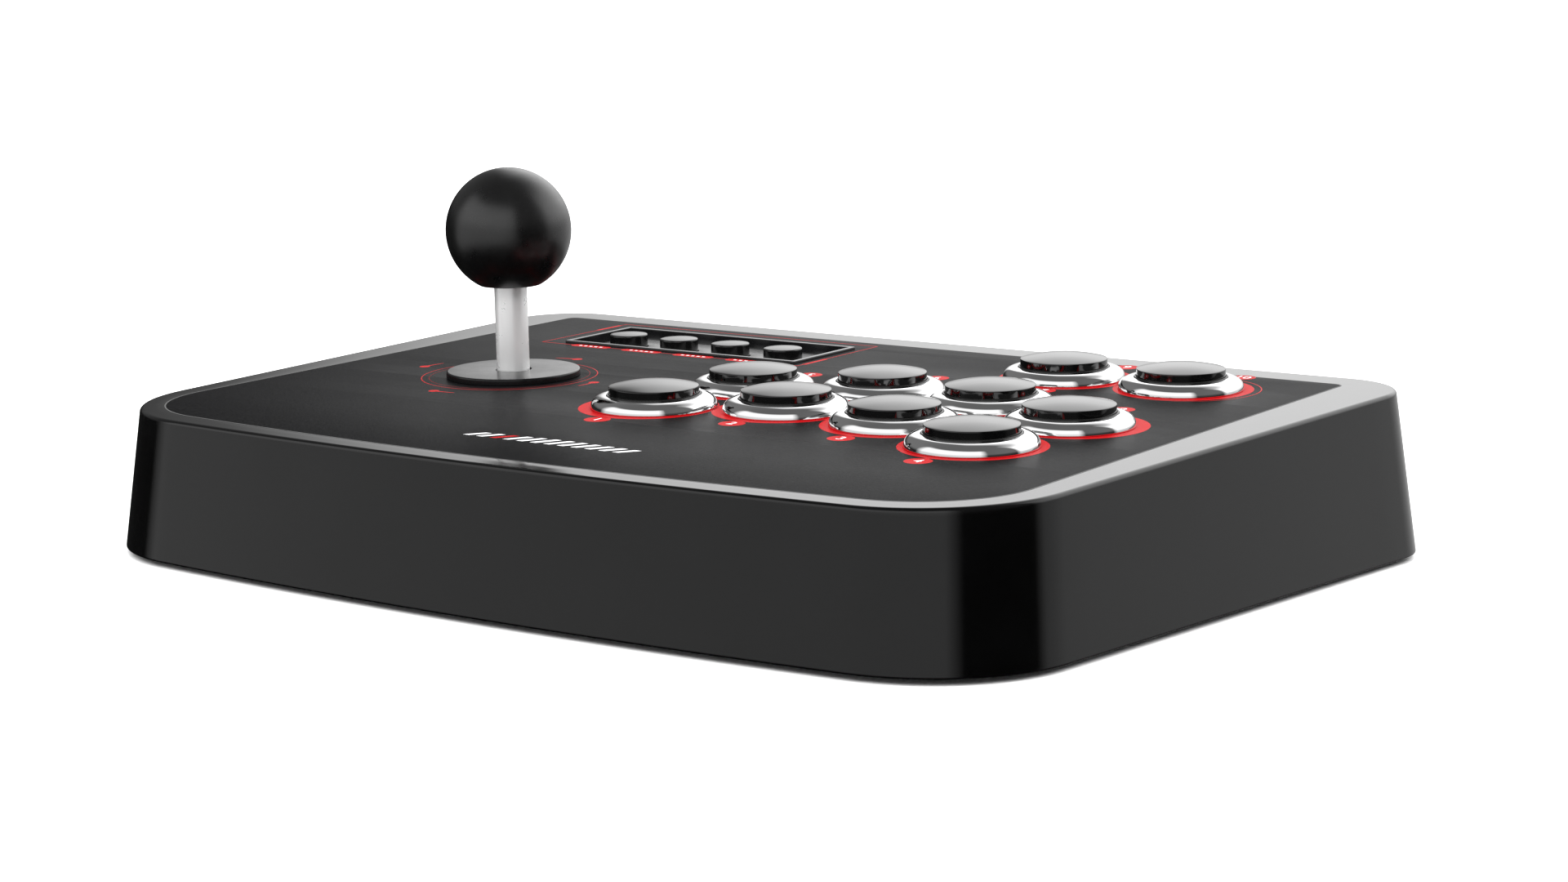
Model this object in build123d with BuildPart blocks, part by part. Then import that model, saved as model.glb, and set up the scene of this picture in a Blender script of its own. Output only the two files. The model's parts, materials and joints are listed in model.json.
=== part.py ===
"""Arcade joystick panel: wide low case, steel control plate, ball-top stick and ten push buttons.

Axes: +X to the player's right, +Y to the back, +Z up. The origin is on the ground under the
middle of the case. Everything on the control plate is built on the panel plane, whose Z points
out of the plate, so a depth below the printed surface is a negative offset of that plane.
"""
import os
from math import cos, radians, sin, tan

from build123d import *

os.makedirs("parts", exist_ok=True)

# ---- driving dimensions, millimetres and degrees ----
# Case
CASE_LIFT = 1.5            # lower edge of the case above the ground
PANEL_HEIGHT = 41.9        # printed surface and top of the case, above the ground at the origin
PANEL_RISE = 1.83          # slope of the panel, up towards the back
WALL = 2.8                 # side walls
ROOF = 3.4                 # top wall of the case
EDGE_ROUND = 1.6           # rounding along the top edge
# An outline: half width at the front and back corners, front and back lines, bow of the front,
# front and back corner radii.
CASE_FOOT = (142.0, 157.0, -102.7, 110.8, 8.1, 39.4, 21.0)
CASE_TOP = (138.8, 150.7, -99.1, 107.3, 7.5, 38.0, 19.9)
PLATE_EDGE = (133.4, 133.4, -92.5, 96.3, 7.0, 29.5, 3.0)
PLATE_CENTER = (-0.6, 0.0) # the control plate sits a little to the left in the case
LEDGE = 8.0                # shelf under the edge of the control plate

# Base and feet
BASE_THICK = 2.5
BASE_GAP = 0.6             # base plate to the case walls
FOOT_RISE = 2.0            # foot bottom to base plate
FOOT_RADIUS = 10.0
BOSS_RADIUS = 4.5
PILOT_RADIUS = 1.4
PILOT_DEPTH = 12.0
SCREW_HOLE = 1.9
HEAD_HOLE = 3.3
HEAD_RADIUS = 3.0
HEAD_SINK = 1.2
HEAD_THICK = 1.1
DRIVE_SLOT = (3.6, 0.7, 0.6)           # cross slot in each head: length, width, depth
FOOT_CHAMFER = 0.4
BOSS_POINTS = [
    (-130, -60), (130, -60), (0, -98), (-133.5, 20),
    (133.5, 20), (-138, 95), (138, 95), (-45, 98), (45, 98),
]
FOOT_POINTS = [(-108, -72), (108, -72), (-124, 84), (124, 84)]

ARC_DROP = 0.25            # a shallow crown falls this share of its height by half its radius

# Control plate and printed sheet
SHEET_THICK = 0.4
PLATE_THICK = 1.6
PLATE_FIT = 0.15           # plate edge to the pocket wall

# Push buttons
BUTTON_PITCH = 36.0
ROW_START = (-9.1, -22.2)              # first button of the front row
ROW_HEADINGS = (20.2, -5.3, -25.2)     # direction from each button to the next
ROW_STEP = (6.4, 35.6)                 # front row to second row
PAIR_START = (61.6, 69.5)              # left button of the pair at the back
BEZEL_RADIUS = 16.8
BEZEL_HEIGHT = 3.4
COLLAR_SEAT = 1.6                      # top of the barrel's shoulder, inside the bezel
COLLAR_RADIUS = 12.5                   # black collar inside the bezel
COLLAR_HEIGHT = 3.6
BARREL_RADIUS = 14.75
BARREL_GAP = 0.25                      # round the barrel in the control plate
BARREL_DEPTH = 22.0
BARREL_FLOOR = 2.0
BARREL_WALL = 1.5
PIN_HOLE = 2.6                         # hole in the barrel floor over the switch pin
PLUNGER_RADIUS = 11.9
PLUNGER_RIM = 5.5
PLUNGER_CROWN = 7.0
PLUNGER_EDGE = 0.35
PLUNGER_SKIN = 1.5
PLUNGER_FIT = 0.1
PLUNGER_STOP = 3.0                     # depth of the shoulder that holds the plunger in
PLUNGER_FLANGE = 1.5
PLUNGER_ROOF = 2.5                     # rim of the plunger down to the inside of its top
STEM_RADIUS = 2.0
STEM_END = -18.6
SWITCH_PIN = 0.8
NUT_RADIUS = 17.2
NUT_HEIGHT = 6.0
NUT_NOTCHES = 12
NUT_NOTCH_RADIUS = 0.8
BUTTON_SWITCH = (20.0, 6.4, 10.0)
SWITCH_PIN_RADIUS = 1.0

# Menu tray
TRAY_CENTER = (-59.7, 69.05)
TRAY_SIZE = (84.2, 31.3)
TRAY_RIM = 0.7             # rim above the printed sheet
TRAY_LIP = 1.4             # width of the rim
TRAY_OVERHANG = 0.5        # rim past the edge of its cut-out
TRAY_FIT = 0.05            # tray to the edge of its cut-out
TRAY_SINK = 2.4            # floor below the printed sheet
TRAY_FLOOR = 1.2
CAP_CENTER = (-61.3, 69.2)
CAP_PITCH = 19.05
CAP_RADIUS = 5.7
CAP_RIM = 1.0
CAP_CROWN = 1.8
CAP_EDGE = 0.3             # bevel round the crown
CAP_HOLE_GAP = 0.3
CAP_GUIDE = 0.8            # flange that holds the cap under the floor
CAP_STEM = 1.6
MENU_BOARD = (82.0, 24.0, 1.6)
MENU_BOARD_TOP = -9.0
MENU_SWITCH = (6.0, 3.5)
TRAY_POST = 2.4
TRAY_POSTS = (76.0, 18.0)

# Main board, on pillars from the base plate
BOARD_CENTER = (0.0, 85.0)
BOARD_SIZE = (70.0, 40.0, 1.6)
BOARD_HOLES = (60.0, 30.0)
BOARD_HEIGHT = 12.9
PILLAR_RADIUS = 3.0
CHIPS = [((-14, 79), (10, 10)), ((16, 76), (8, 5))]    # place and size
CHIP_THICK = 1.5
CONNECTOR_ROW = (0, 69)
CONNECTOR_PITCH = 15
CONNECTOR_SIZE = (12, 5, 6)

# Stick
STICK_CENTER = (-75.2, -1.5)
BALL_RADIUS = 17.5
BALL_HEIGHT = 41.0         # ball centre above the printed sheet
BALL_FLAT = 15.3           # ball centre down to its flat
COVER_RADIUS = 4.6
ROD_RADIUS = 3.0
ROD_END = -35.6
PIVOT_DEPTH = 17.0
PIVOT_BALL = 7.5
PIVOT_RING = 10.0
PIVOT_FIT = 0.1
SEAT_HALF = 5.5            # half height of the spherical seat
RING_HALF = 4.5            # half height of the pivot ring
ROD_TOP = 34.0
WASHER_LIFT = 0.05
WASHER_SPACE = 1.6         # control plate to mount plate, for the lower washer
LOWER_WASHER_RADIUS = 17.0
LOWER_WASHER_BORE = 7.8
LOWER_WASHER_GAP = 0.3     # control plate to lower washer
LOWER_WASHER_THICK = 1.0
WASHER_RADIUS = 18.75
WASHER_THICK = 1.8
WASHER_ROUND = 0.9
WASHER_GAP = 0.35
PLATE_HOLE = 12.0          # hole in the control plate around the stick
MOUNT_SIZE = (95.0, 53.0)
MOUNT_THICK = 1.6
MOUNT_HOLES = (84.0, 40.0)
MOUNT_SCREW = 1.9
MOUNT_SCREW_HEAD = 2.2
MOUNT_CORNER = 4.0
SPACER_RADIUS = 5.0
THROAT_RADIUS = 9.0
HOUSING_HOLES = (50.0, 36.0)
HOUSING_SCREW = 1.5
HOUSING_SCREW_HEAD = 1.8
HOUSING_SIZE = 62.0
HOUSING_CORNER = 3.0
POCKET_SIZE = (9.0, 24.0)
POCKET_SPREAD = 23.0       # stick axis to the middle of each side pocket
POCKET_ROOF = 3.0
HOUSING_FLOOR = -24.5
GATE_TOP = -31.0
GATE_THICK = 2.5
GATE_HALF = 8.8
GATE_POSTS = 52.0
GATE_POST_RADIUS = 3.0
GATE_CORNER = 1.0          # inside corners of the gate opening
ACTUATOR_RADIUS = 6.2
ACTUATOR_FLANGE = 7.4
ACTUATOR_TOP = -26.4
ACTUATOR_END = -33.6
CLIP_RADIUS = 5.0
CLIP_THICK = 0.8
CLIP_MOUTH = 3.0
SPRING_TOP = -23.0
SPRING_RADIUS = 5.2
SPRING_WIRE = 0.8
SPRING_TURNS = 3
STICK_SWITCH = (9.8, 19.6, 6.4)        # outwards, across and deep
SWITCH_INNER = 10.2
SWITCH_NOSE = (1.6, 2.4, 2.0)          # outwards, across and deep

# Socket at the back
SOCKET_CENTER = (0.0, 20.0)            # across and up
SOCKET_SIZE = (12.0, 11.0)
SOCKET_MOUTH = (8.5, 7.8)
SOCKET_FACE = 108.6
SOCKET_LENGTH = 15.6
SOCKET_DEPTH = 10.5
SOCKET_TONGUE = (5.6, 3.2)
SOCKET_TONGUE_LENGTH = 5.8

# ---- worked out from the driving dimensions ----
RISE = radians(PANEL_RISE)
panel = Plane(origin=(0, 0, PANEL_HEIGHT), x_dir=(1, 0, 0), z_dir=(0, -sin(RISE), cos(RISE)))
SHEET_BACK = -SHEET_THICK
PLATE_BACK = SHEET_BACK - PLATE_THICK
BASE_TOP = FOOT_RISE + BASE_THICK

row = [ROW_START]
for heading in ROW_HEADINGS:
    last = row[-1]
    step = radians(heading)
    row.append((last[0] + BUTTON_PITCH * cos(step), last[1] + BUTTON_PITCH * sin(step)))
second_row = [(x + ROW_STEP[0], y + ROW_STEP[1]) for x, y in row]
pair = [PAIR_START, (PAIR_START[0] + BUTTON_PITCH, PAIR_START[1])]
BUTTONS = row + second_row + pair
TRAY_CUTOUT = [side - 2 * TRAY_OVERHANG for side in TRAY_SIZE]
TRAY_BODY = [side - 2 * TRAY_FIT for side in TRAY_CUTOUT]
TRAY_WELL = [side - 2 * TRAY_LIP for side in TRAY_SIZE]
CAPS = [(CAP_CENTER[0] + CAP_PITCH * (i - 1.5), CAP_CENTER[1]) for i in range(4)]


def save(builder, name):
    """Label a finished piece and write its file."""
    builder.part.label = name
    export_step(builder.part, f"parts/{name}.step")


def outline(plane, shape, inset=0.0):
    """A flared outline with a bowed front and round corners, as a sketch on the plane."""
    half_front, half_back, y_front, y_back, bow, r_front, r_back = shape
    front_y = y_front + inset
    back_y = y_back - inset
    with BuildSketch(plane) as face:
        with BuildLine():
            front = ThreePointArc(
                (inset - half_front, front_y), (0, front_y - bow), (half_front - inset, front_y)
            )
            right = Line(front @ 1, (half_back - inset, back_y))
            back = Line(right @ 1, (inset - half_back, back_y))
            Line(back @ 1, front @ 0)
        make_face()
        fillet(face.vertices().sort_by(Axis.Y)[:2], r_front - inset)
        fillet(face.vertices().sort_by(Axis.Y)[-2:], max(r_back - inset, 1.0))
    return face.sketch


def spot(center, depth=0.0):
    """The panel plane moved to a point on the panel and a depth along its normal."""
    point = panel.from_local_coords((center[0], center[1], depth))
    return Plane(origin=point, x_dir=panel.x_dir, z_dir=panel.z_dir)


def profile_plane(center):
    """An upright plane through a point on the panel, for turned profiles: X across, Y out."""
    point = panel.from_local_coords((center[0], center[1], 0))
    return Plane(origin=point, x_dir=panel.x_dir, z_dir=-panel.y_dir)


def normal_axis(center):
    """The line along the panel's normal through a point on the panel."""
    point = panel.from_local_coords((center[0], center[1], 0))
    return Axis(point, panel.z_dir)


# ---- case ----
with BuildPart() as body_shell:
    loft([outline(Plane.XY.offset(CASE_LIFT), CASE_FOOT), outline(panel, CASE_TOP)])
    fillet(body_shell.faces().sort_by(Axis.Z)[-1].edges(), EDGE_ROUND)
    loft(
        [
            outline(Plane.XY.offset(CASE_LIFT), CASE_FOOT, WALL),
            outline(panel.offset(-ROOF), CASE_TOP, WALL),
        ],
        mode=Mode.SUBTRACT,
    )
    # pocket for the control plate, open inside its ledge
    extrude(outline(spot(PLATE_CENTER, PLATE_BACK), PLATE_EDGE), 2 * PLATE_THICK, mode=Mode.SUBTRACT)
    extrude(outline(spot(PLATE_CENTER, -2 * ROOF), PLATE_EDGE, LEDGE), 2 * ROOF, mode=Mode.SUBTRACT)
    # screw bosses, rooted halfway into the ledge
    for x, y in BOSS_POINTS:
        boss_top = PANEL_HEIGHT + y * tan(RISE) + (PLATE_BACK - ROOF) / 2
        with BuildSketch(Plane.XY.offset(BASE_TOP)):
            with Locations((x, y)):
                Circle(BOSS_RADIUS)
        extrude(amount=boss_top - BASE_TOP)
        with BuildSketch(Plane.XY.offset(BASE_TOP)):
            with Locations((x, y)):
                Circle(PILOT_RADIUS)
        extrude(amount=PILOT_DEPTH, mode=Mode.SUBTRACT)
    # window for the socket in the back wall
    with BuildSketch(Plane.XZ.offset(-CASE_FOOT[3] - 1)):
        with Locations(SOCKET_CENTER):
            Rectangle(*SOCKET_SIZE)
    extrude(amount=4 * WALL, mode=Mode.SUBTRACT)
save(body_shell, "body_shell")

with BuildPart() as base_plate:
    extrude(outline(Plane.XY.offset(FOOT_RISE), CASE_FOOT, WALL + BASE_GAP), BASE_THICK)
    # board pillars
    with BuildSketch(Plane.XY.offset(BASE_TOP)):
        with Locations(BOARD_CENTER):
            with GridLocations(*BOARD_HOLES, 2, 2):
                Circle(PILLAR_RADIUS)
    extrude(amount=BOARD_HEIGHT - BASE_TOP)
    with BuildSketch(Plane.XY.offset(FOOT_RISE)):
        with Locations(*BOSS_POINTS):
            Circle(SCREW_HOLE)
    extrude(amount=BASE_THICK, mode=Mode.SUBTRACT)
    with BuildSketch(Plane.XY.offset(FOOT_RISE)):
        with Locations(*BOSS_POINTS):
            Circle(HEAD_HOLE)
    extrude(amount=HEAD_SINK, mode=Mode.SUBTRACT)
save(base_plate, "base_plate")

with BuildPart() as base_screws:
    with BuildSketch(Plane.XY.offset(FOOT_RISE + HEAD_SINK)):
        with Locations(*BOSS_POINTS):
            Circle(PILOT_RADIUS)
    extrude(amount=BASE_THICK + PILOT_DEPTH / 2)
    with BuildSketch(Plane.XY.offset(FOOT_RISE + HEAD_SINK)):
        with Locations(*BOSS_POINTS):
            Circle(HEAD_RADIUS)
    extrude(amount=-HEAD_THICK)
    slot_length, slot_width, slot_depth = DRIVE_SLOT
    with BuildSketch(Plane.XY.offset(FOOT_RISE + HEAD_SINK - HEAD_THICK)):
        with Locations(*BOSS_POINTS):
            Rectangle(slot_length, slot_width)
            Rectangle(slot_width, slot_length)
    extrude(amount=slot_depth, mode=Mode.SUBTRACT)
save(base_screws, "base_screws")

with BuildPart() as rubber_feet:
    with BuildSketch(Plane.XY):
        with Locations(*FOOT_POINTS):
            Circle(FOOT_RADIUS)
    extrude(amount=FOOT_RISE)
    chamfer(rubber_feet.edges().group_by(Axis.Z)[0], FOOT_CHAMFER)
save(rubber_feet, "rubber_feet")

# ---- control plate and printed sheet ----
def plate_blank(depth, thick):
    """The outline of the control plate with every hole in it, a plate of the given thickness."""
    with BuildPart() as blank:
        extrude(outline(spot(PLATE_CENTER, depth), PLATE_EDGE, PLATE_FIT), thick)
        with BuildSketch(panel.offset(depth)):
            with Locations(*BUTTONS):
                Circle(BARREL_RADIUS + BARREL_GAP)
            with Locations(STICK_CENTER):
                Circle(PLATE_HOLE)
            with Locations(TRAY_CENTER):
                Rectangle(*TRAY_CUTOUT)
        extrude(amount=thick, mode=Mode.SUBTRACT)
    return blank


top_plate = plate_blank(PLATE_BACK, PLATE_THICK)
save(top_plate, "top_plate")
panel_overlay = plate_blank(SHEET_BACK, SHEET_THICK)
save(panel_overlay, "panel_overlay")


# ---- menu tray with its four caps ----
with BuildPart() as menu_tray:
    # rim on the sheet, then the well through the cut-out
    with BuildSketch(spot(TRAY_CENTER)):
        Rectangle(*TRAY_SIZE)
    extrude(amount=TRAY_RIM)
    with BuildSketch(spot(TRAY_CENTER)):
        Rectangle(*TRAY_BODY)
    extrude(amount=-(TRAY_SINK + TRAY_FLOOR))
    with BuildSketch(spot(TRAY_CENTER, TRAY_RIM)):
        Rectangle(*TRAY_WELL)
    extrude(amount=-(TRAY_RIM + TRAY_SINK), mode=Mode.SUBTRACT)
    with BuildSketch(panel.offset(-TRAY_SINK)):
        with Locations(*CAPS):
            Circle(CAP_RADIUS + CAP_HOLE_GAP)
    extrude(amount=-TRAY_FLOOR, mode=Mode.SUBTRACT)
    with BuildSketch(spot(TRAY_CENTER, -(TRAY_SINK + TRAY_FLOOR))):
        with GridLocations(*TRAY_POSTS, 2, 2):
            Circle(TRAY_POST)
    extrude(amount=MENU_BOARD_TOP + TRAY_SINK + TRAY_FLOOR)
save(menu_tray, "menu_tray")


def menu_cap(center):
    """Round cap: crowned top, straight side, stop flange under the tray floor, switch stem."""
    floor_back = -(TRAY_SINK + TRAY_FLOOR)
    with BuildPart() as cap:
        with BuildSketch(profile_plane(center)):
            with BuildLine():
                crown = ThreePointArc(
                    (0, CAP_CROWN),
                    (CAP_RADIUS / 2, CAP_CROWN - ARC_DROP * (CAP_CROWN - CAP_RIM)),
                    (CAP_RADIUS - CAP_EDGE, CAP_RIM),
                )
                Polyline(
                    crown @ 1,
                    (CAP_RADIUS, CAP_RIM - CAP_EDGE),
                    (CAP_RADIUS, floor_back),
                    (CAP_RADIUS + 1, floor_back),
                    (CAP_RADIUS + 1, floor_back - CAP_GUIDE),
                    (CAP_STEM, floor_back - CAP_GUIDE),
                    (CAP_STEM, MENU_BOARD_TOP + MENU_SWITCH[1] - 1),
                    (0, MENU_BOARD_TOP + MENU_SWITCH[1] - 1),
                    (0, CAP_CROWN),
                )
            make_face()
        revolve(axis=normal_axis(center))
    return cap


for number, center in enumerate(CAPS, 1):
    save(menu_cap(center), f"menu_cap_{number}")

with BuildPart() as menu_board:
    with BuildSketch(spot(TRAY_CENTER, MENU_BOARD_TOP)):
        Rectangle(*MENU_BOARD[:2])
    extrude(amount=-MENU_BOARD[2])
    # switch under each cap, with a hole for the cap's stem
    with BuildSketch(panel.offset(MENU_BOARD_TOP)):
        with Locations(*CAPS):
            Rectangle(MENU_SWITCH[0], MENU_SWITCH[0])
            Circle(CAP_STEM + 0.1, mode=Mode.SUBTRACT)
    extrude(amount=MENU_SWITCH[1])
save(menu_board, "menu_board")


# ---- push buttons ----
def button_bezel(center):
    """Chrome ring: bell-shaped outside, open inside for the barrel and its collar."""
    with BuildPart() as bezel:
        with BuildSketch(profile_plane(center)):
            with BuildLine():
                foot = Line((BARREL_RADIUS + 0.05, 0), (BEZEL_RADIUS, 0))
                heel = Line(foot @ 1, (BEZEL_RADIUS - 0.05, 0.45))
                flank = Spline(
                    heel @ 1,
                    (BEZEL_RADIUS - 0.75, 1.95),
                    (COLLAR_RADIUS + 1.6, BEZEL_HEIGHT - 0.25),
                    (COLLAR_RADIUS + 0.3, BEZEL_HEIGHT),
                    tangents=[(-0.12, 1), (-1, 0.08)],
                )
                Polyline(
                    flank @ 1,
                    (COLLAR_RADIUS, BEZEL_HEIGHT - 0.2),
                    (COLLAR_RADIUS, COLLAR_SEAT),
                    (BARREL_RADIUS + 0.05, COLLAR_SEAT),
                    foot @ 0,
                )
            make_face()
        revolve(axis=normal_axis(center))
    return bezel


def button_barrel(center):
    """Black barrel: collar through the bezel, shoulder for the plunger, floor with a pin hole."""
    bore = PLUNGER_RADIUS + PLUNGER_FIT
    wide_bore = BARREL_RADIUS - BARREL_WALL
    with BuildPart() as barrel:
        with BuildSketch(profile_plane(center)):
            Polygon(
                (bore, COLLAR_HEIGHT),
                (COLLAR_RADIUS, COLLAR_HEIGHT),
                (COLLAR_RADIUS, COLLAR_SEAT),
                (BARREL_RADIUS, COLLAR_SEAT),
                (BARREL_RADIUS, -BARREL_DEPTH),
                (PIN_HOLE, -BARREL_DEPTH),
                (PIN_HOLE, BARREL_FLOOR - BARREL_DEPTH),
                (wide_bore, BARREL_FLOOR - BARREL_DEPTH),
                (wide_bore, -PLUNGER_STOP),
                (bore, -PLUNGER_STOP),
                align=None,
            )
        revolve(axis=normal_axis(center))
    return barrel


def button_plunger(center):
    """Hollow plunger: crowned top, thin skirt with a stop flange, stem over the switch."""
    with BuildPart() as plunger:
        with BuildSketch(profile_plane(center)):
            with BuildLine():
                crown = ThreePointArc(
                    (0, PLUNGER_CROWN),
                    (PLUNGER_RADIUS / 2, PLUNGER_CROWN - ARC_DROP * (PLUNGER_CROWN - PLUNGER_RIM)),
                    (PLUNGER_RADIUS - PLUNGER_EDGE, PLUNGER_RIM),
                )
                Polyline(
                    crown @ 1,
                    (PLUNGER_RADIUS, PLUNGER_RIM - PLUNGER_EDGE),
                    (PLUNGER_RADIUS, -PLUNGER_STOP),
                    (PLUNGER_RADIUS + 1, -PLUNGER_STOP),
                    (PLUNGER_RADIUS + 1, -PLUNGER_STOP - PLUNGER_FLANGE),
                    (PLUNGER_RADIUS - PLUNGER_SKIN, -PLUNGER_STOP - PLUNGER_FLANGE),
                    (PLUNGER_RADIUS - PLUNGER_SKIN, PLUNGER_RIM - PLUNGER_ROOF),
                    (STEM_RADIUS, PLUNGER_RIM - PLUNGER_ROOF),
                    (STEM_RADIUS, STEM_END),
                    (0, STEM_END),
                    (0, PLUNGER_CROWN),
                )
            make_face()
        revolve(axis=normal_axis(center))
    return plunger


for number, center in enumerate(BUTTONS, 1):
    save(button_bezel(center), f"button_bezel_{number}")
    save(button_barrel(center), f"button_barrel_{number}")
    save(button_plunger(center), f"button_plunger_{number}")

with BuildPart() as button_nuts:
    with BuildSketch(panel.offset(PLATE_BACK)):
        with Locations(*BUTTONS):
            Circle(NUT_RADIUS)
            Circle(BARREL_RADIUS + 0.05, mode=Mode.SUBTRACT)
    extrude(amount=-NUT_HEIGHT)
    # grip notches round each nut
    with BuildSketch(panel.offset(PLATE_BACK)):
        for center in BUTTONS:
            with Locations(center):
                with PolarLocations(NUT_RADIUS, NUT_NOTCHES):
                    Circle(NUT_NOTCH_RADIUS)
    extrude(amount=-NUT_HEIGHT, mode=Mode.SUBTRACT)
save(button_nuts, "button_nuts")

with BuildPart() as button_switches:
    with BuildSketch(panel.offset(-BARREL_DEPTH)):
        with Locations(*BUTTONS):
            Rectangle(*BUTTON_SWITCH[:2])
    extrude(amount=-BUTTON_SWITCH[2])
    # actuator pin of each switch, up through the barrel floor
    with BuildSketch(panel.offset(-BARREL_DEPTH)):
        with Locations(*BUTTONS):
            Circle(SWITCH_PIN_RADIUS)
    extrude(amount=SWITCH_PIN)
save(button_switches, "button_switches")


# ---- main board and socket ----
with BuildPart() as main_board:
    with BuildSketch(Plane.XY.offset(BOARD_HEIGHT)):
        with Locations(BOARD_CENTER):
            Rectangle(*BOARD_SIZE[:2])
    extrude(amount=BOARD_SIZE[2])
    board_top = Plane.XY.offset(BOARD_HEIGHT + BOARD_SIZE[2])
    with BuildSketch(board_top):
        for place, size in CHIPS:
            with Locations(place):
                Rectangle(*size)
    extrude(amount=CHIP_THICK)
    # connector blocks for the button leads
    with BuildSketch(board_top):
        with Locations(CONNECTOR_ROW):
            with GridLocations(CONNECTOR_PITCH, 1, 4, 1):
                Rectangle(*CONNECTOR_SIZE[:2])
    extrude(amount=CONNECTOR_SIZE[2])
save(main_board, "main_board")

with BuildPart() as usb_socket:
    with BuildSketch(Plane.XZ.offset(-SOCKET_FACE)):
        with Locations(SOCKET_CENTER):
            Rectangle(*SOCKET_SIZE)
    extrude(amount=SOCKET_LENGTH)
    with BuildSketch(Plane.XZ.offset(-SOCKET_FACE)):
        with Locations(SOCKET_CENTER):
            Rectangle(*SOCKET_MOUTH)
    extrude(amount=SOCKET_DEPTH, mode=Mode.SUBTRACT)
    with BuildSketch(Plane.XZ.offset(SOCKET_DEPTH - SOCKET_FACE)):
        with Locations(SOCKET_CENTER):
            Rectangle(*SOCKET_TONGUE)
    extrude(amount=-SOCKET_TONGUE_LENGTH)
save(usb_socket, "usb_socket")


# ---- stick ----
stick_axis = normal_axis(STICK_CENTER)
stick_side = profile_plane(STICK_CENTER)
MOUNT_TOP = PLATE_BACK - WASHER_SPACE
MOUNT_BACK = MOUNT_TOP - MOUNT_THICK
PIVOT = -PIVOT_DEPTH


def stick_turned(*points):
    """A ring turned about the stick's axis from (radius, height) corners."""
    with BuildPart() as ring:
        with BuildSketch(stick_side):
            Polygon(*points, align=None)
        revolve(axis=stick_axis)
    return ring


with BuildPart() as stick_mount_plate:
    with BuildSketch(spot(STICK_CENTER, MOUNT_BACK)):
        RectangleRounded(*MOUNT_SIZE, MOUNT_CORNER)
    extrude(amount=MOUNT_THICK)
    # spacer under the control plate at each corner
    with BuildSketch(spot(STICK_CENTER, MOUNT_BACK)):
        with GridLocations(*MOUNT_HOLES, 2, 2):
            Circle(SPACER_RADIUS)
    extrude(amount=MOUNT_THICK + WASHER_SPACE)
    with BuildSketch(spot(STICK_CENTER, MOUNT_BACK)):
        Circle(THROAT_RADIUS)
        with GridLocations(*MOUNT_HOLES, 2, 2):
            Circle(MOUNT_SCREW + 0.1)
        with GridLocations(*HOUSING_HOLES, 2, 2):
            Circle(HOUSING_SCREW)
    extrude(amount=MOUNT_THICK + WASHER_SPACE, mode=Mode.SUBTRACT)
save(stick_mount_plate, "stick_mount_plate")

with BuildPart() as stick_housing:
    with BuildSketch(spot(STICK_CENTER, HOUSING_FLOOR)):
        RectangleRounded(HOUSING_SIZE, HOUSING_SIZE, HOUSING_CORNER)
    extrude(amount=MOUNT_BACK - HOUSING_FLOOR)
    # throat above the pivot, spherical seat, spring well below
    with BuildSketch(stick_side):
        with BuildLine():
            seat_radius = PIVOT_RING + PIVOT_FIT
            mouth = (seat_radius ** 2 - SEAT_HALF ** 2) ** 0.5
            seat = RadiusArc((mouth, PIVOT + SEAT_HALF), (mouth, PIVOT - SEAT_HALF), seat_radius)
            Polyline(
                seat @ 1,
                (THROAT_RADIUS, PIVOT - SEAT_HALF),
                (THROAT_RADIUS, HOUSING_FLOOR),
                (0, HOUSING_FLOOR),
                (0, MOUNT_BACK),
                (THROAT_RADIUS, MOUNT_BACK),
                (THROAT_RADIUS, PIVOT + SEAT_HALF),
                seat @ 0,
            )
        make_face()
    revolve(axis=stick_axis, mode=Mode.SUBTRACT)
    # side pockets that lighten the moulding
    with BuildSketch(spot(STICK_CENTER, HOUSING_FLOOR)):
        with PolarLocations(POCKET_SPREAD, 4):
            Rectangle(*POCKET_SIZE)
    extrude(amount=MOUNT_BACK - HOUSING_FLOOR - POCKET_ROOF, mode=Mode.SUBTRACT)
    with BuildSketch(spot(STICK_CENTER, HOUSING_FLOOR)):
        with GridLocations(*HOUSING_HOLES, 2, 2):
            Circle(HOUSING_SCREW + 0.1)
    extrude(amount=MOUNT_BACK - HOUSING_FLOOR, mode=Mode.SUBTRACT)
save(stick_housing, "stick_housing")

with BuildPart() as pivot_ring:
    with BuildSketch(stick_side):
        with BuildLine():
            inner_radius = PIVOT_BALL + PIVOT_FIT
            inner_x = (inner_radius ** 2 - RING_HALF ** 2) ** 0.5
            outer_x = (PIVOT_RING ** 2 - RING_HALF ** 2) ** 0.5
            outer = ThreePointArc((outer_x, PIVOT + RING_HALF), (PIVOT_RING, PIVOT),
                                  (outer_x, PIVOT - RING_HALF))
            bottom = Line(outer @ 1, (inner_x, PIVOT - RING_HALF))
            inner = ThreePointArc(bottom @ 1, (inner_radius, PIVOT), (inner_x, PIVOT + RING_HALF))
            Line(inner @ 1, outer @ 0)
        make_face()
    revolve(axis=stick_axis)
save(pivot_ring, "pivot_ring")

with BuildPart() as stick_shaft:
    with BuildSketch(spot(STICK_CENTER, ROD_END)):
        Circle(ROD_RADIUS)
    extrude(amount=ROD_TOP - ROD_END)
    chamfer(stick_shaft.edges().sort_by(Axis.Z)[-1], 0.5)
    with Locations(spot(STICK_CENTER, PIVOT)):
        Sphere(PIVOT_BALL)
save(stick_shaft, "stick_shaft")

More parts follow.
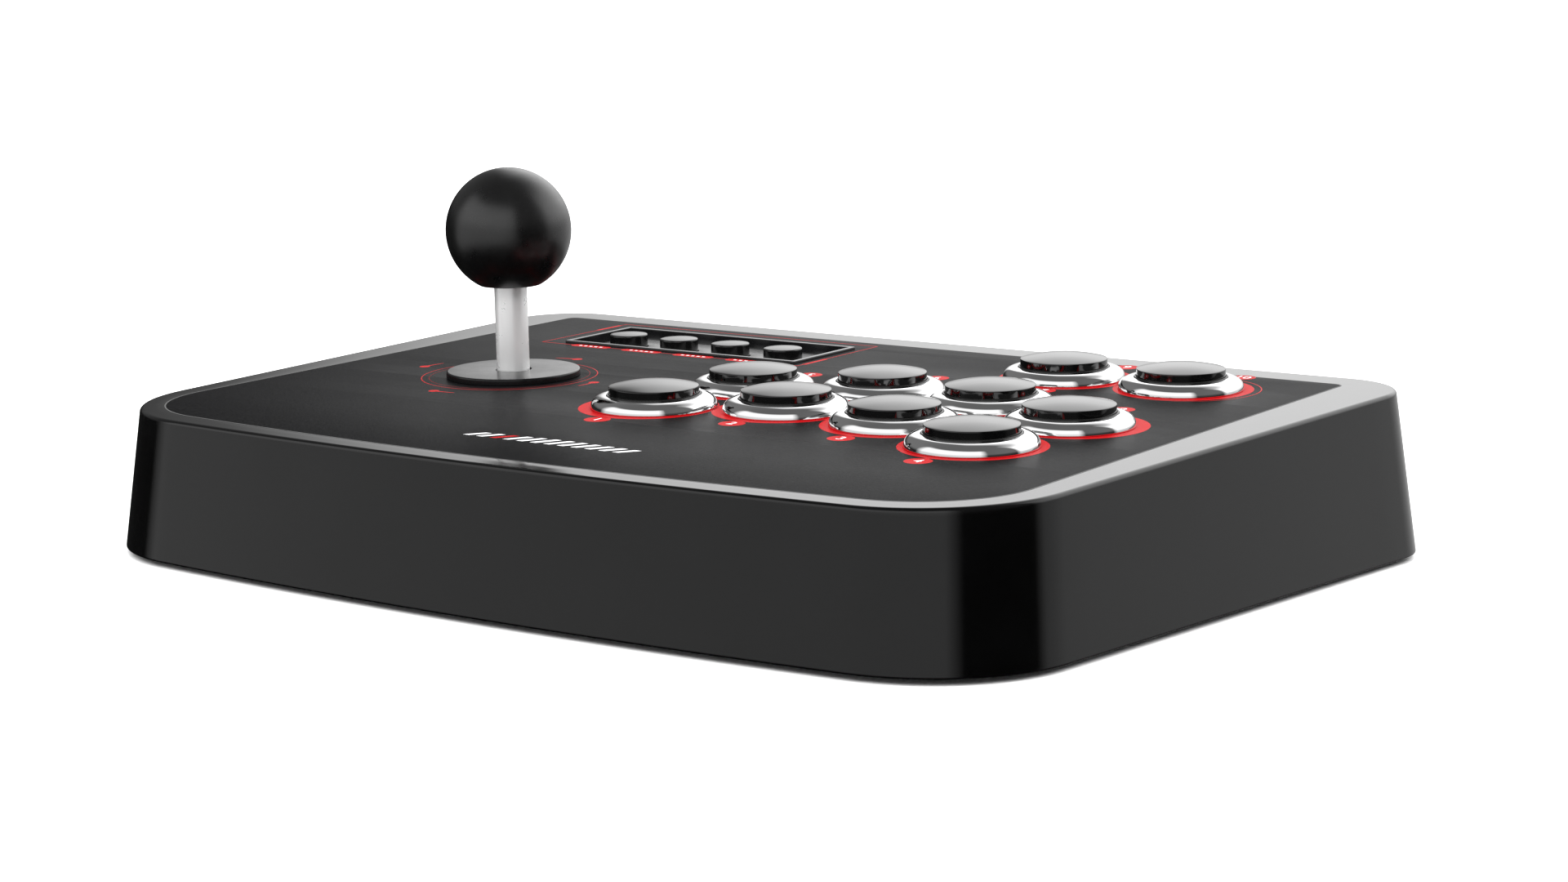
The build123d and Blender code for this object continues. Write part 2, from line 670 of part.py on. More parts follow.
cover_bore = ROD_RADIUS + 0.02
ball_seat = BALL_HEIGHT - BALL_FLAT
shaft_cover = stick_turned(
    (cover_bore, PIVOT + PIVOT_BALL),
    (COVER_RADIUS, PIVOT + PIVOT_BALL),
    (COVER_RADIUS, ball_seat),
    (cover_bore, ball_seat),
)
save(shaft_cover, "shaft_cover")

with BuildPart() as ball_top:
    with Locations(spot(STICK_CENTER, BALL_HEIGHT)):
        Sphere(BALL_RADIUS)
    split(bisect_by=spot(STICK_CENTER, ball_seat), keep=Keep.TOP)
    with BuildSketch(spot(STICK_CENTER, ball_seat)):
        Circle(cover_bore)
    extrude(amount=ROD_TOP - ball_seat + 0.5, mode=Mode.SUBTRACT)
save(ball_top, "ball_top")

with BuildPart() as dust_washer:
    with BuildSketch(spot(STICK_CENTER, WASHER_LIFT)):
        Circle(WASHER_RADIUS)
        Circle(COVER_RADIUS + WASHER_GAP, mode=Mode.SUBTRACT)
    extrude(amount=WASHER_THICK)
    rims = dust_washer.edges().filter_by(GeomType.CIRCLE).sort_by(SortBy.RADIUS)[-2:]
    fillet(rims.sort_by(Axis.Z)[-1], WASHER_ROUND)
save(dust_washer, "dust_washer")

lower_top = PLATE_BACK - LOWER_WASHER_GAP
lower_washer = stick_turned(
    (LOWER_WASHER_BORE, lower_top),
    (LOWER_WASHER_RADIUS, lower_top),
    (LOWER_WASHER_RADIUS, lower_top - LOWER_WASHER_THICK),
    (LOWER_WASHER_BORE, lower_top - LOWER_WASHER_THICK),
)
save(lower_washer, "lower_washer")

with BuildPart() as restrictor_gate:
    with BuildSketch(spot(STICK_CENTER, GATE_TOP)):
        RectangleRounded(HOUSING_SIZE, HOUSING_SIZE, HOUSING_CORNER)
        RectangleRounded(2 * GATE_HALF, 2 * GATE_HALF, GATE_CORNER, mode=Mode.SUBTRACT)
    extrude(amount=-GATE_THICK)
    # posts between the gate and the housing
    with BuildSketch(spot(STICK_CENTER, GATE_TOP)):
        with GridLocations(GATE_POSTS, GATE_POSTS, 2, 2):
            Circle(GATE_POST_RADIUS)
    extrude(amount=HOUSING_FLOOR - GATE_TOP)
save(restrictor_gate, "restrictor_gate")

stick_actuator = stick_turned(
    (cover_bore, ACTUATOR_TOP),
    (ACTUATOR_FLANGE, ACTUATOR_TOP),
    (ACTUATOR_FLANGE, ACTUATOR_TOP - 1),
    (ACTUATOR_RADIUS, ACTUATOR_TOP - 1),
    (ACTUATOR_RADIUS, ACTUATOR_END),
    (cover_bore, ACTUATOR_END),
)
save(stick_actuator, "stick_actuator")

with BuildPart() as e_clip:
    with BuildSketch(spot(STICK_CENTER, ACTUATOR_END)):
        Circle(CLIP_RADIUS)
        Circle(cover_bore, mode=Mode.SUBTRACT)
        with Locations((CLIP_RADIUS, 0)):
            Rectangle(CLIP_RADIUS, CLIP_MOUTH, mode=Mode.SUBTRACT)
    extrude(amount=-CLIP_THICK)
save(e_clip, "e_clip")

with BuildPart() as stick_spring:
    turns_height = SPRING_TOP - ACTUATOR_TOP - SPRING_WIRE
    spring_base = spot(STICK_CENTER, ACTUATOR_TOP + SPRING_WIRE / 2)
    with BuildLine(spring_base) as coil:
        Helix(pitch=turns_height / SPRING_TURNS, height=turns_height, radius=SPRING_RADIUS)
    with BuildSketch(Plane(origin=coil.line @ 0, z_dir=coil.line % 0)):
        Circle(SPRING_WIRE / 2)
    sweep(path=coil.line, is_frenet=True)
save(stick_spring, "stick_spring")

with BuildPart() as stick_switches:
    switch_middle = SWITCH_INNER + STICK_SWITCH[0] / 2
    with BuildSketch(spot(STICK_CENTER, HOUSING_FLOOR)):
        with PolarLocations(switch_middle, 4):
            Rectangle(STICK_SWITCH[0], STICK_SWITCH[1])
    extrude(amount=-STICK_SWITCH[2])
    # button of each switch, facing the actuator
    with BuildSketch(spot(STICK_CENTER, HOUSING_FLOOR - (STICK_SWITCH[2] + SWITCH_NOSE[2]) / 2)):
        with PolarLocations(SWITCH_INNER - SWITCH_NOSE[0] / 2, 4):
            Rectangle(*SWITCH_NOSE[:2])
    extrude(amount=SWITCH_NOSE[2])
save(stick_switches, "stick_switches")

with BuildPart() as stick_screws:
    # mount plate to the control plate
    with BuildSketch(spot(STICK_CENTER, MOUNT_BACK)):
        with GridLocations(*MOUNT_HOLES, 2, 2):
            Circle(MOUNT_SCREW)
    extrude(amount=MOUNT_THICK + WASHER_SPACE)
    with BuildSketch(spot(STICK_CENTER, MOUNT_BACK)):
        with GridLocations(*MOUNT_HOLES, 2, 2):
            Circle(2 * MOUNT_SCREW)
    extrude(amount=-MOUNT_SCREW_HEAD)
    # housing to the mount plate
    with BuildSketch(spot(STICK_CENTER, HOUSING_FLOOR)):
        with GridLocations(*HOUSING_HOLES, 2, 2):
            Circle(HOUSING_SCREW)
    extrude(amount=MOUNT_TOP - HOUSING_FLOOR)
    with BuildSketch(spot(STICK_CENTER, HOUSING_FLOOR)):
        with GridLocations(*HOUSING_HOLES, 2, 2):
            Circle(2 * HOUSING_SCREW)
    extrude(amount=-HOUSING_SCREW_HEAD)
save(stick_screws, "stick_screws")
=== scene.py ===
"""Looks of the arcade joystick panel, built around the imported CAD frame. The dimensions are in
millimetres, and MM turns them into the frame's metres."""
import json
from math import acos, atan2, cos, degrees, pi, radians, sin, sqrt, tan

import bmesh
import bpy
from mathutils import Matrix, Vector


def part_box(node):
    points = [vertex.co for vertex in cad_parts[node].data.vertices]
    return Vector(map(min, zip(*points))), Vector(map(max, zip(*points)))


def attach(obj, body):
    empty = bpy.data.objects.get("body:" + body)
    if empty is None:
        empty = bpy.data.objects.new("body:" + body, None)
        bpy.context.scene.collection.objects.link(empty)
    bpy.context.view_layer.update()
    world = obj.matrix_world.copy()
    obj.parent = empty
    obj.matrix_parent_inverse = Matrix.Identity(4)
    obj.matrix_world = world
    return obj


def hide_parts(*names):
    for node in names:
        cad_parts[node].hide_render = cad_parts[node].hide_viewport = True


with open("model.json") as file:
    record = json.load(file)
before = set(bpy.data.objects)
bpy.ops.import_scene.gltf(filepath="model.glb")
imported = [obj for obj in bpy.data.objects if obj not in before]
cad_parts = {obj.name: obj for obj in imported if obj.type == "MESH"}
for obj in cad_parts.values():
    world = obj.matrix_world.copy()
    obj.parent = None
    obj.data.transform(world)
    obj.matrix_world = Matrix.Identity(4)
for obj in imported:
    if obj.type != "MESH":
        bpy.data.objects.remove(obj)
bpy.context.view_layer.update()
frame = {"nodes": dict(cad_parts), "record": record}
MM = 0.001

# ---- driving dimensions, the CAD model's except where a comment says so ----
PANEL_HEIGHT = 41.9
PANEL_RISE = radians(1.83)
CASE_LIFT = 1.5
WALL = 2.8
ROOF = 3.4
EDGE_ROUND = 1.2                       # a little sharper than the CAD edge
FOOT_EDGE = 0.5
# outlines: half width in front and behind, y in front and behind, bow, corner radii
CASE_FOOT = (142.0, 157.0, -102.7, 110.8, 8.1, 39.4, 21.0)
CASE_TOP = (138.8, 150.7, -99.1, 107.3, 7.5, 38.0, 19.9)
PLATE_EDGE = (133.4, 133.4, -92.5, 96.3, 7.0, 29.5, 3.0)
PLATE_SHIFT = -0.6                     # of the control plate, sideways
LEDGE = 8.0
SHEET_THICK = 0.4
PLATE_THICK = 1.6

BUTTON_PITCH = 36.0
ROW_START = (-9.1, -22.2)
ROW_HEADINGS = (20.2, -5.3, -25.2)
ROW_STEP = (6.4, 35.6)
PAIR_START = (61.6, 69.5)
BARREL_RADIUS = 14.75
BEZEL_RADIUS = 16.8
BEZEL_HEIGHT = 3.4
COLLAR_RADIUS = 12.5
COLLAR_HEIGHT = 3.6
COLLAR_SEAT = 1.6
PLUNGER_RADIUS = 11.9
PLUNGER_RIM = 5.5
PLUNGER_CROWN = 7.0
PLUNGER_WALL = 1.5
PLUNGER_ROOF = 3.0                     # underside of the crown
PLUNGER_FLANGE = (1.0, -3.0, -4.5)     # reach past the skirt, top, bottom
PLUNGER_STEM = (2.0, -18.6)            # radius, end
BARREL_WALL = 1.5
BARREL_FLOOR = (-20.0, -22.0)          # top, bottom
BARREL_PIN_HOLE = 2.6
THREAD_START = -8.5
THREAD_PITCH = 1.2
THREAD_DEPTH = 0.5

TRAY_CENTER = (-59.7, 69.05)
TRAY_SIZE = (84.2, 31.3)
TRAY_RIM = 0.7
TRAY_LIP = 1.4
TRAY_OVERHANG = 0.5
TRAY_SINK = 2.4
TRAY_FLOOR = 1.2
TRAY_CORNER = 0.4
TRAY_POST = (2.4, -9.0)                # radius, end
TRAY_POST_REACH = (38, 9)              # from the tray's middle
CAP_CENTER = (-61.3, 69.2)
CAP_PITCH = 19.05
CAP_RADIUS = 5.7
CAP_RIM = 1.0
CAP_SHOULDER = 1.35                    # flatter than the CAD cap's crown
CAP_CROWN = 1.8
CAP_FLANGE = (1.0, 0.8)                # reach past the side, thickness
CAP_STEM = (1.6, -6.5)                 # radius, end

STICK_CENTER = (-75.2, -1.5)
BALL_RADIUS = 17.5
BALL_SKIN = 0.01                       # the looks stay this far inside the CAD ball
BALL_HEIGHT = 41.0
BALL_FLAT = 15.3
BALL_BORE = (3.1, 8.0)                 # radius, depth
COVER_RADIUS = 4.6
COVER_END = -9.5
COVER_BORE = 3.02
WASHER_RADIUS = 18.75
WASHER_THICK = 1.8
WASHER_LIFT = 0.05
WASHER_BORE = 4.95
PLATE_HOLE = 12.0

PANEL = (
    Matrix.Translation((0, 0, PANEL_HEIGHT * MM))
    @ Matrix.Rotation(PANEL_RISE, 4, "X")
)


def button_centers():
    """Front row along its headings, the second row a step behind it, then the pair at the back."""
    row = [ROW_START]
    for heading in ROW_HEADINGS:
        x, y = row[-1]
        turn = radians(heading)
        row.append((x + BUTTON_PITCH * cos(turn), y + BUTTON_PITCH * sin(turn)))
    second = [(x + ROW_STEP[0], y + ROW_STEP[1]) for x, y in row]
    return row + second + [PAIR_START, (PAIR_START[0] + BUTTON_PITCH, PAIR_START[1])]


BUTTONS = button_centers()
CAPS = [(CAP_CENTER[0] + CAP_PITCH * (i - 1.5), CAP_CENTER[1]) for i in range(4)]


def on_panel(x, y, depth=0.0):
    """A panel point, in millimetres along the panel and off it, as a place in the frame."""
    return PANEL @ Vector((x * MM, y * MM, depth * MM))


# ---- meshes ----
def new_mesh(name, verts, faces, sharp=35.0):
    """A smooth-shaded mesh object whose edges are sharp above an angle in degrees."""
    mesh = bpy.data.meshes.new(name)
    mesh.from_pydata(verts, [], faces)
    finish_mesh(mesh, sharp)
    piece = bpy.data.objects.new(name, mesh)
    bpy.context.collection.objects.link(piece)
    return piece


def finish_mesh(mesh, sharp=35.0):
    """Outward normals, smooth faces, and sharp edges above the angle."""
    bm = bmesh.new()
    bm.from_mesh(mesh)
    bmesh.ops.remove_doubles(bm, verts=bm.verts, dist=1e-7)
    bmesh.ops.recalc_face_normals(bm, faces=bm.faces)
    for face in bm.faces:
        face.smooth = True
    for edge in bm.edges:
        edge.smooth = len(edge.link_faces) != 2 or edge.calc_face_angle(0) < radians(sharp)
    bm.to_mesh(mesh)
    bm.free()


def rounded(corners, closed=False):
    """A profile from (across, up, radius) corners, each with radius turned into an arc."""
    count = len(corners)
    points = []
    for i, (x, y, radius) in enumerate(corners):
        here = Vector((x, y))
        if radius <= 0 or (not closed and i in (0, count - 1)):
            points.append((x, y))
            continue
        before = (Vector(corners[i - 1][:2]) - here).normalized()
        after = (Vector(corners[(i + 1) % count][:2]) - here).normalized()
        angle = before.angle(after)
        if abs(pi - angle) < 1e-4:
            points.append((x, y))
            continue
        reach = radius / tan(angle / 2)
        middle = here + (before + after).normalized() * (radius / sin(angle / 2))
        start = here + before * reach - middle
        end = here + after * reach - middle
        sweep = start.angle_signed(end)
        steps = max(3, int(abs(degrees(sweep)) / 12))
        for k in range(steps + 1):
            turn = -sweep * k / steps
            point = Matrix.Rotation(turn, 2) @ start
            points.append(tuple(middle + point))
    return points


def lathe(name, profile, center, segments=128, sharp=35.0):
    """A piece turned about the panel's normal at a point, from (radius, height) points."""
    verts = []
    faces = []
    rings = []
    for radius, height in profile:
        if radius < 1e-6:
            rings.append([len(verts)] * segments)
            verts.append(on_panel(center[0], center[1], height))
            continue
        rings.append(list(range(len(verts), len(verts) + segments)))
        for k in range(segments):
            turn = 2 * pi * k / segments
            verts.append(on_panel(center[0] + radius * cos(turn), center[1] + radius * sin(turn), height))
    pairs = list(zip(rings, rings[1:]))
    if profile[0][0] > 1e-6 and profile[-1][0] > 1e-6:
        pairs.append((rings[-1], rings[0]))
    for low, high in pairs:
        for k in range(segments):
            n = (k + 1) % segments
            corners = list(dict.fromkeys([low[k], low[n], high[n], high[k]]))
            if len(corners) > 2:
                faces.append(corners)
    return new_mesh(name, verts, faces, sharp)


def outline(shape, inset=0.0, shift=0.0, arc=24, side=16, bow_steps=64):
    """Points round a flared outline with a bowed front, in millimetres; their number is fixed."""
    half_front, half_back, y_front, y_back, bow, r_front, r_back = shape
    bow_radius = (half_front ** 2 + bow ** 2) / (2 * bow)
    bow_y = y_front - bow + bow_radius + inset
    r_front = r_front - inset
    r_back = max(r_back - inset, 1.0)
    low = Vector((half_front - inset, y_front + inset))
    high = Vector((half_back - inset, y_back - inset))
    along = (high - low).normalized()
    inward = Vector((-along.y, along.x))
    # front corner: r_front inside the side line and inside the bow circle
    base = low + inward * r_front
    reach = bow_radius - r_front
    off = base - Vector((0, bow_y))
    b = off.dot(along)
    c = off.length_squared - reach ** 2
    roots = (-b + sqrt(b * b - c), -b - sqrt(b * b - c))
    centers = [base + along * t for t in roots]
    front = min(centers, key=lambda p: p.y)
    bow_end = (front - Vector((0, bow_y))).normalized()
    # back corner: between the side line and the back line
    t = (high.y - r_back - (low + inward * r_back).y) / along.y
    back = low + inward * r_back + along * t
    points = []
    start = atan2(bow_end.y, bow_end.x)
    middle = -pi / 2
    for k in range(bow_steps // 2):
        turn = middle + (start - middle) * k / (bow_steps // 2)
        points.append(Vector((bow_radius * cos(turn), bow_y + bow_radius * sin(turn))))
    side_turn = atan2(-inward.y, -inward.x)
    for k in range(arc + 1):
        turn = start + (side_turn - start) * k / arc
        points.append(front + Vector((cos(turn), sin(turn))) * r_front)
    side_low = front - inward * r_front
    side_high = back - inward * r_back
    for k in range(1, side):
        points.append(side_low.lerp(side_high, k / side))
    for k in range(arc + 1):
        turn = side_turn + (pi / 2 - side_turn) * k / arc
        points.append(back + Vector((cos(turn), sin(turn))) * r_back)
    back_end = points[-1]
    for k in range(1, bow_steps // 2):
        points.append(back_end.lerp(Vector((0, back_end.y)), k / (bow_steps // 2)))
    points.append(Vector((0, back_end.y)))
    mirrored = [Vector((-p.x, p.y)) for p in reversed(points[1:-1])]
    return [p + Vector((shift, 0)) for p in points + mirrored]


def loops_mesh(name, loops, sharp=35.0):
    """A closed ring-shaped mesh from loops of the same length, the last joined to the first."""
    count = len(loops[0])
    verts = [point for loop in loops for point in loop]
    faces = []
    for i in range(len(loops)):
        j = (i + 1) % len(loops)
        for k in range(count):
            n = (k + 1) % count
            faces.append((i * count + k, i * count + n, j * count + n, j * count + k))
    return new_mesh(name, verts, faces, sharp)


def flat_shape(name, loops, depth, thick, bevel=0.0):
    """A flat plate on the panel from closed outlines in millimetres; later loops are its holes."""
    curve = bpy.data.curves.new(name, "CURVE")
    curve.dimensions = "2D"
    curve.fill_mode = "BOTH"
    curve.extrude = max(thick / 2 - bevel, 0) * MM
    curve.bevel_depth = bevel * MM
    curve.bevel_resolution = 3
    for loop in loops:
        spline = curve.splines.new("POLY")
        spline.points.add(len(loop) - 1)
        for point, (x, y) in zip(spline.points, loop):
            point.co = (x * MM, y * MM, 0, 1)
        spline.use_cyclic_u = True
    holder = bpy.data.objects.new(name + "_curve", curve)
    bpy.context.collection.objects.link(holder)
    graph = bpy.context.evaluated_depsgraph_get()
    mesh = bpy.data.meshes.new_from_object(holder.evaluated_get(graph))
    bpy.data.objects.remove(holder)
    bpy.data.curves.remove(curve)
    mesh.name = name
    mesh.transform(PANEL @ Matrix.Translation((0, 0, (depth + thick / 2) * MM)))
    finish_mesh(mesh, 30)
    piece = bpy.data.objects.new(name, mesh)
    bpy.context.collection.objects.link(piece)
    return piece


def circle(center, radius, segments=96):
    """Points of a circle on the panel."""
    turns = [2 * pi * k / segments for k in range(segments)]
    return [(center[0] + radius * cos(turn), center[1] + radius * sin(turn)) for turn in turns]


def rectangle(center, size, radius=0.0):
    """Points of a rectangle with round corners on the panel."""
    half_x, half_y = size[0] / 2, size[1] / 2
    corners = [(-half_x, -half_y), (half_x, -half_y), (half_x, half_y), (-half_x, half_y)]
    return rounded([(center[0] + x, center[1] + y, radius) for x, y in corners], closed=True)


# ---- node materials ----
def blank_material(name):
    """A material with a Principled shader, its node tree and the shader."""
    material = bpy.data.materials.new(name)
    material.use_nodes = True
    tree = material.node_tree
    shader = next(n for n in tree.nodes if n.type == "BSDF_PRINCIPLED")
    return material, tree, shader


def noise(tree, scale, detail=3.0, stretch=None, rough=0.5):
    """A noise texture in object coordinates; scale is in waves per metre."""
    place = tree.nodes.new("ShaderNodeTexCoord")
    texture = tree.nodes.new("ShaderNodeTexNoise")
    texture.inputs["Scale"].default_value = scale
    texture.inputs["Detail"].default_value = detail
    texture.inputs["Roughness"].default_value = rough
    if stretch:
        mapping = tree.nodes.new("ShaderNodeMapping")
        mapping.inputs["Scale"].default_value = stretch
        tree.links.new(place.outputs["Object"], mapping.inputs["Vector"])
        tree.links.new(mapping.outputs["Vector"], texture.inputs["Vector"])
    else:
        tree.links.new(place.outputs["Object"], texture.inputs["Vector"])
    return texture.outputs["Fac"]


def ramp(tree, source, low, high, start=0.3, end=0.7):
    """A number that goes from low to high as the source goes from start to end."""
    spread = tree.nodes.new("ShaderNodeMapRange")
    spread.inputs["From Min"].default_value = start
    spread.inputs["From Max"].default_value = end
    spread.inputs["To Min"].default_value = low
    spread.inputs["To Max"].default_value = high
    tree.links.new(source, spread.inputs["Value"])
    return spread.outputs["Result"]


def two_tone(tree, source, dark, light, start=0.3, end=0.7):
    """A colour that goes from dark to light as the source goes from start to end."""
    colors = tree.nodes.new("ShaderNodeValToRGB")
    colors.color_ramp.elements[0].position = start
    colors.color_ramp.elements[1].position = end
    colors.color_ramp.elements[0].color = (*dark, 1)
    colors.color_ramp.elements[1].color = (*light, 1)
    tree.links.new(source, colors.inputs["Fac"])
    return colors.outputs["Color"]


def bump(tree, shader, source, height, strength=0.4):
    """Surface relief from the source; height is in millimetres."""
    relief = tree.nodes.new("ShaderNodeBump")
    relief.inputs["Distance"].default_value = height * MM
    relief.inputs["Strength"].default_value = strength
    tree.links.new(source, relief.inputs["Height"])
    tree.links.new(relief.outputs["Normal"], shader.inputs["Normal"])


def moulded(name, dark, light, rough, grain=900.0, relief=0.01, specular=0.5, metal=0.0):
    """Moulded or plated stuff: slight colour drift, handling marks in the gloss and a fine skin."""
    material, tree, shader = blank_material(name)
    shader.inputs["Metallic"].default_value = metal
    shader.inputs["Specular IOR Level"].default_value = specular
    drift = noise(tree, 45.0, 4.0)
    tree.links.new(two_tone(tree, drift, dark, light), shader.inputs["Base Color"])
    marks = noise(tree, 160.0, 6.0, rough=0.65)
    tree.links.new(ramp(tree, marks, rough * 0.82, rough * 1.2), shader.inputs["Roughness"])
    bump(tree, shader, noise(tree, grain, 2.0), relief)
    return material


def grained_film():
    """Printed polyester film: black ground, fine velvet grain with pale and dark specks."""
    material, tree, shader = blank_material("overlay_film")
    grain = noise(tree, 1700.0, 3.0, rough=0.7)
    tone = two_tone(tree, grain, (0.002, 0.002, 0.0022), (0.012, 0.012, 0.0125), 0.35, 0.75)
    tree.links.new(tone, shader.inputs["Base Color"])
    cloud = noise(tree, 60.0, 4.0)
    tree.links.new(ramp(tree, cloud, 0.35, 0.37), shader.inputs["Roughness"])
    shader.inputs["Specular IOR Level"].default_value = 0.012
    bump(tree, shader, grain, 0.05, 0.8)
    return material


def brushed_metal(name, base, rough, stretch, relief=0.01):
    """Metal with fine lines along one direction."""
    material, tree, shader = blank_material(name)
    shader.inputs["Metallic"].default_value = 1.0
    lines = noise(tree, 700.0, 5.0, stretch=stretch)
    dark = tuple(0.86 * c for c in base)
    tree.links.new(two_tone(tree, lines, dark, base), shader.inputs["Base Color"])
    tree.links.new(ramp(tree, lines, rough * 0.8, rough * 1.25), shader.inputs["Roughness"])
    bump(tree, shader, lines, relief, 0.3)
    return material


def ink(name, color, rough=0.4):
    """Screen-printed ink: slightly uneven cover over the film's grain."""
    material, tree, shader = blank_material(name)
    grain = noise(tree, 1900.0, 3.0, rough=0.7)
    dark = tuple(0.82 * c for c in color)
    tree.links.new(two_tone(tree, grain, dark, color), shader.inputs["Base Color"])
    tree.links.new(ramp(tree, grain, rough * 0.9, rough * 1.15), shader.inputs["Roughness"])
    shader.inputs["Specular IOR Level"].default_value = 0.03
    bump(tree, shader, grain, 0.02, 0.4)
    return material


def circuit_board():
    """Green solder mask with copper tracks showing through as a fine lattice."""
    material, tree, shader = blank_material("circuit_board")
    place = tree.nodes.new("ShaderNodeTexCoord")
    bricks = tree.nodes.new("ShaderNodeTexBrick")
    bricks.inputs["Scale"].default_value = 220.0
    bricks.inputs["Color1"].default_value = (0.01, 0.11, 0.04, 1)
    bricks.inputs["Color2"].default_value = (0.012, 0.14, 0.05, 1)
    bricks.inputs["Mortar"].default_value = (0.03, 0.22, 0.09, 1)
    bricks.inputs["Mortar Size"].default_value = 0.06
    tree.links.new(place.outputs["Object"], bricks.inputs["Vector"])
    tree.links.new(bricks.outputs["Color"], shader.inputs["Base Color"])
    tree.links.new(ramp(tree, noise(tree, 300.0), 0.3, 0.42), shader.inputs["Roughness"])
    bump(tree, shader, bricks.outputs["Fac"], 0.03)
    return material


MATERIALS = {
    "case_plastic": moulded(
        "case_plastic", (0.0006, 0.0006, 0.0006), (0.0012, 0.0012, 0.0013), 0.09, 1500.0, 0.002
    ),
    "base_steel": moulded("base_steel", (0.02, 0.02, 0.021), (0.032, 0.032, 0.033), 0.5, 1200.0, 0.04),
    "screw_steel": brushed_metal("screw_steel", (0.62, 0.62, 0.63), 0.32, (1, 1, 6)),
    "foot_rubber": moulded(
        "foot_rubber", (0.012, 0.012, 0.012), (0.024, 0.024, 0.024), 0.75, 900.0, 0.05, 0.3
    ),
    "plate_steel": brushed_metal("plate_steel", (0.55, 0.56, 0.57), 0.35, (1, 12, 1)),
    "overlay_film": grained_film(),
    "tray_plastic": moulded(
        "tray_plastic", (0.004, 0.004, 0.0045), (0.007, 0.007, 0.0075), 0.16, 1500.0, 0.004
    ),
    "tray_floor": moulded("tray_floor", (0.1, 0.1, 0.1), (0.16, 0.16, 0.16), 0.3, 1200.0, 0.01),
    "circuit_board": circuit_board(),
    "socket_metal": brushed_metal("socket_metal", (0.75, 0.75, 0.74), 0.25, (1, 6, 1)),
    "nylon_black": moulded("nylon_black", (0.006, 0.006, 0.006), (0.011, 0.011, 0.011), 0.3, 1100.0, 0.01),
    "switch_plastic": moulded(
        "switch_plastic", (0.02, 0.02, 0.022), (0.04, 0.04, 0.043), 0.45, 900.0, 0.02
    ),
    "gate_plastic": moulded("gate_plastic", (0.6, 0.6, 0.56), (0.74, 0.74, 0.7), 0.4, 900.0, 0.02),
    "pivot_nylon": moulded("pivot_nylon", (0.7, 0.7, 0.66), (0.84, 0.84, 0.8), 0.35, 900.0, 0.02),
    "shaft_steel": brushed_metal("shaft_steel", (0.6, 0.6, 0.6), 0.25, (1, 1, 10)),
    "cover_metal": moulded(
        "cover_metal", (0.93, 0.93, 0.93), (0.96, 0.96, 0.96), 0.3, 900.0, 0.0003, metal=0.5
    ),
    "ball_plastic": moulded(
        "ball_plastic", (0.0015, 0.0015, 0.0016), (0.003, 0.003, 0.0032), 0.3, 1800.0, 0.002, 0.8
    ),
    "spring_steel": brushed_metal("spring_steel", (0.5, 0.5, 0.5), 0.3, (1, 1, 4)),
    "washer_plastic": moulded(
        "washer_plastic", (0.004, 0.004, 0.0042), (0.007, 0.007, 0.0075), 0.2, 1500.0, 0.004, 0.35
    ),
    "bezel_chrome": moulded(
        "bezel_chrome", (0.92, 0.92, 0.93), (0.97, 0.97, 0.97), 0.035, 500.0, 0.0015, metal=1.0
    ),
    "plunger_plastic": moulded(
        "plunger_plastic", (0.001, 0.001, 0.001), (0.002, 0.002, 0.002), 0.05, 900.0, 0.001, 0.75
    ),
    "cap_plastic": moulded(
        "cap_plastic", (0.003, 0.003, 0.003), (0.006, 0.006, 0.006), 0.12, 900.0, 0.002, 0.6
    ),
    "print_red": ink("print_red", (0.38, 0.003, 0.005)),
    "print_white": ink("print_white", (0.85, 0.85, 0.86)),
    # pale grey ink along the film's edge: a painted highlight
    "painted_edge_highlight": ink("painted_edge_highlight", (0.1, 0.1, 0.1)),
}


def dress(piece, slot, body="case", stands_for=(), finish=None):
    """Material, slot and body of a new piece, and the CAD nodes it stands for; finish is a material
    of its own where a piece doesn't look like its slot."""
    piece.data.materials.clear()
    piece.data.materials.append(MATERIALS[finish or slot])
    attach(piece, body)
    if stands_for:
        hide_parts(*stands_for)
    return piece


def dress_cad_nodes():
    """Every CAD node gets the procedural material of its slot."""
    for row in frame["record"]["subparts"]:
        mesh = frame["nodes"][row["node"]].data
        material = MATERIALS[row["material_slot"]]
        if not mesh.materials:
            mesh.materials.append(material)
        for i in range(len(mesh.materials)):
            mesh.materials[i] = material


dress_cad_nodes()


# ---- case ----
SIDE_LEVELS = (0.02, 0.5, 0.95)        # support loops between foot and top edge
RIM_LEVELS = (0.04, 0.5, 0.96)         # support loops between top edge and pocket
POCKET_EDGE = ((0.03, -0.02), (0.04, -0.08))    # inset and depth where the rim turns into the pocket
WINDOW_REACH = 0.03                    # of the cutter through the back wall, in metres


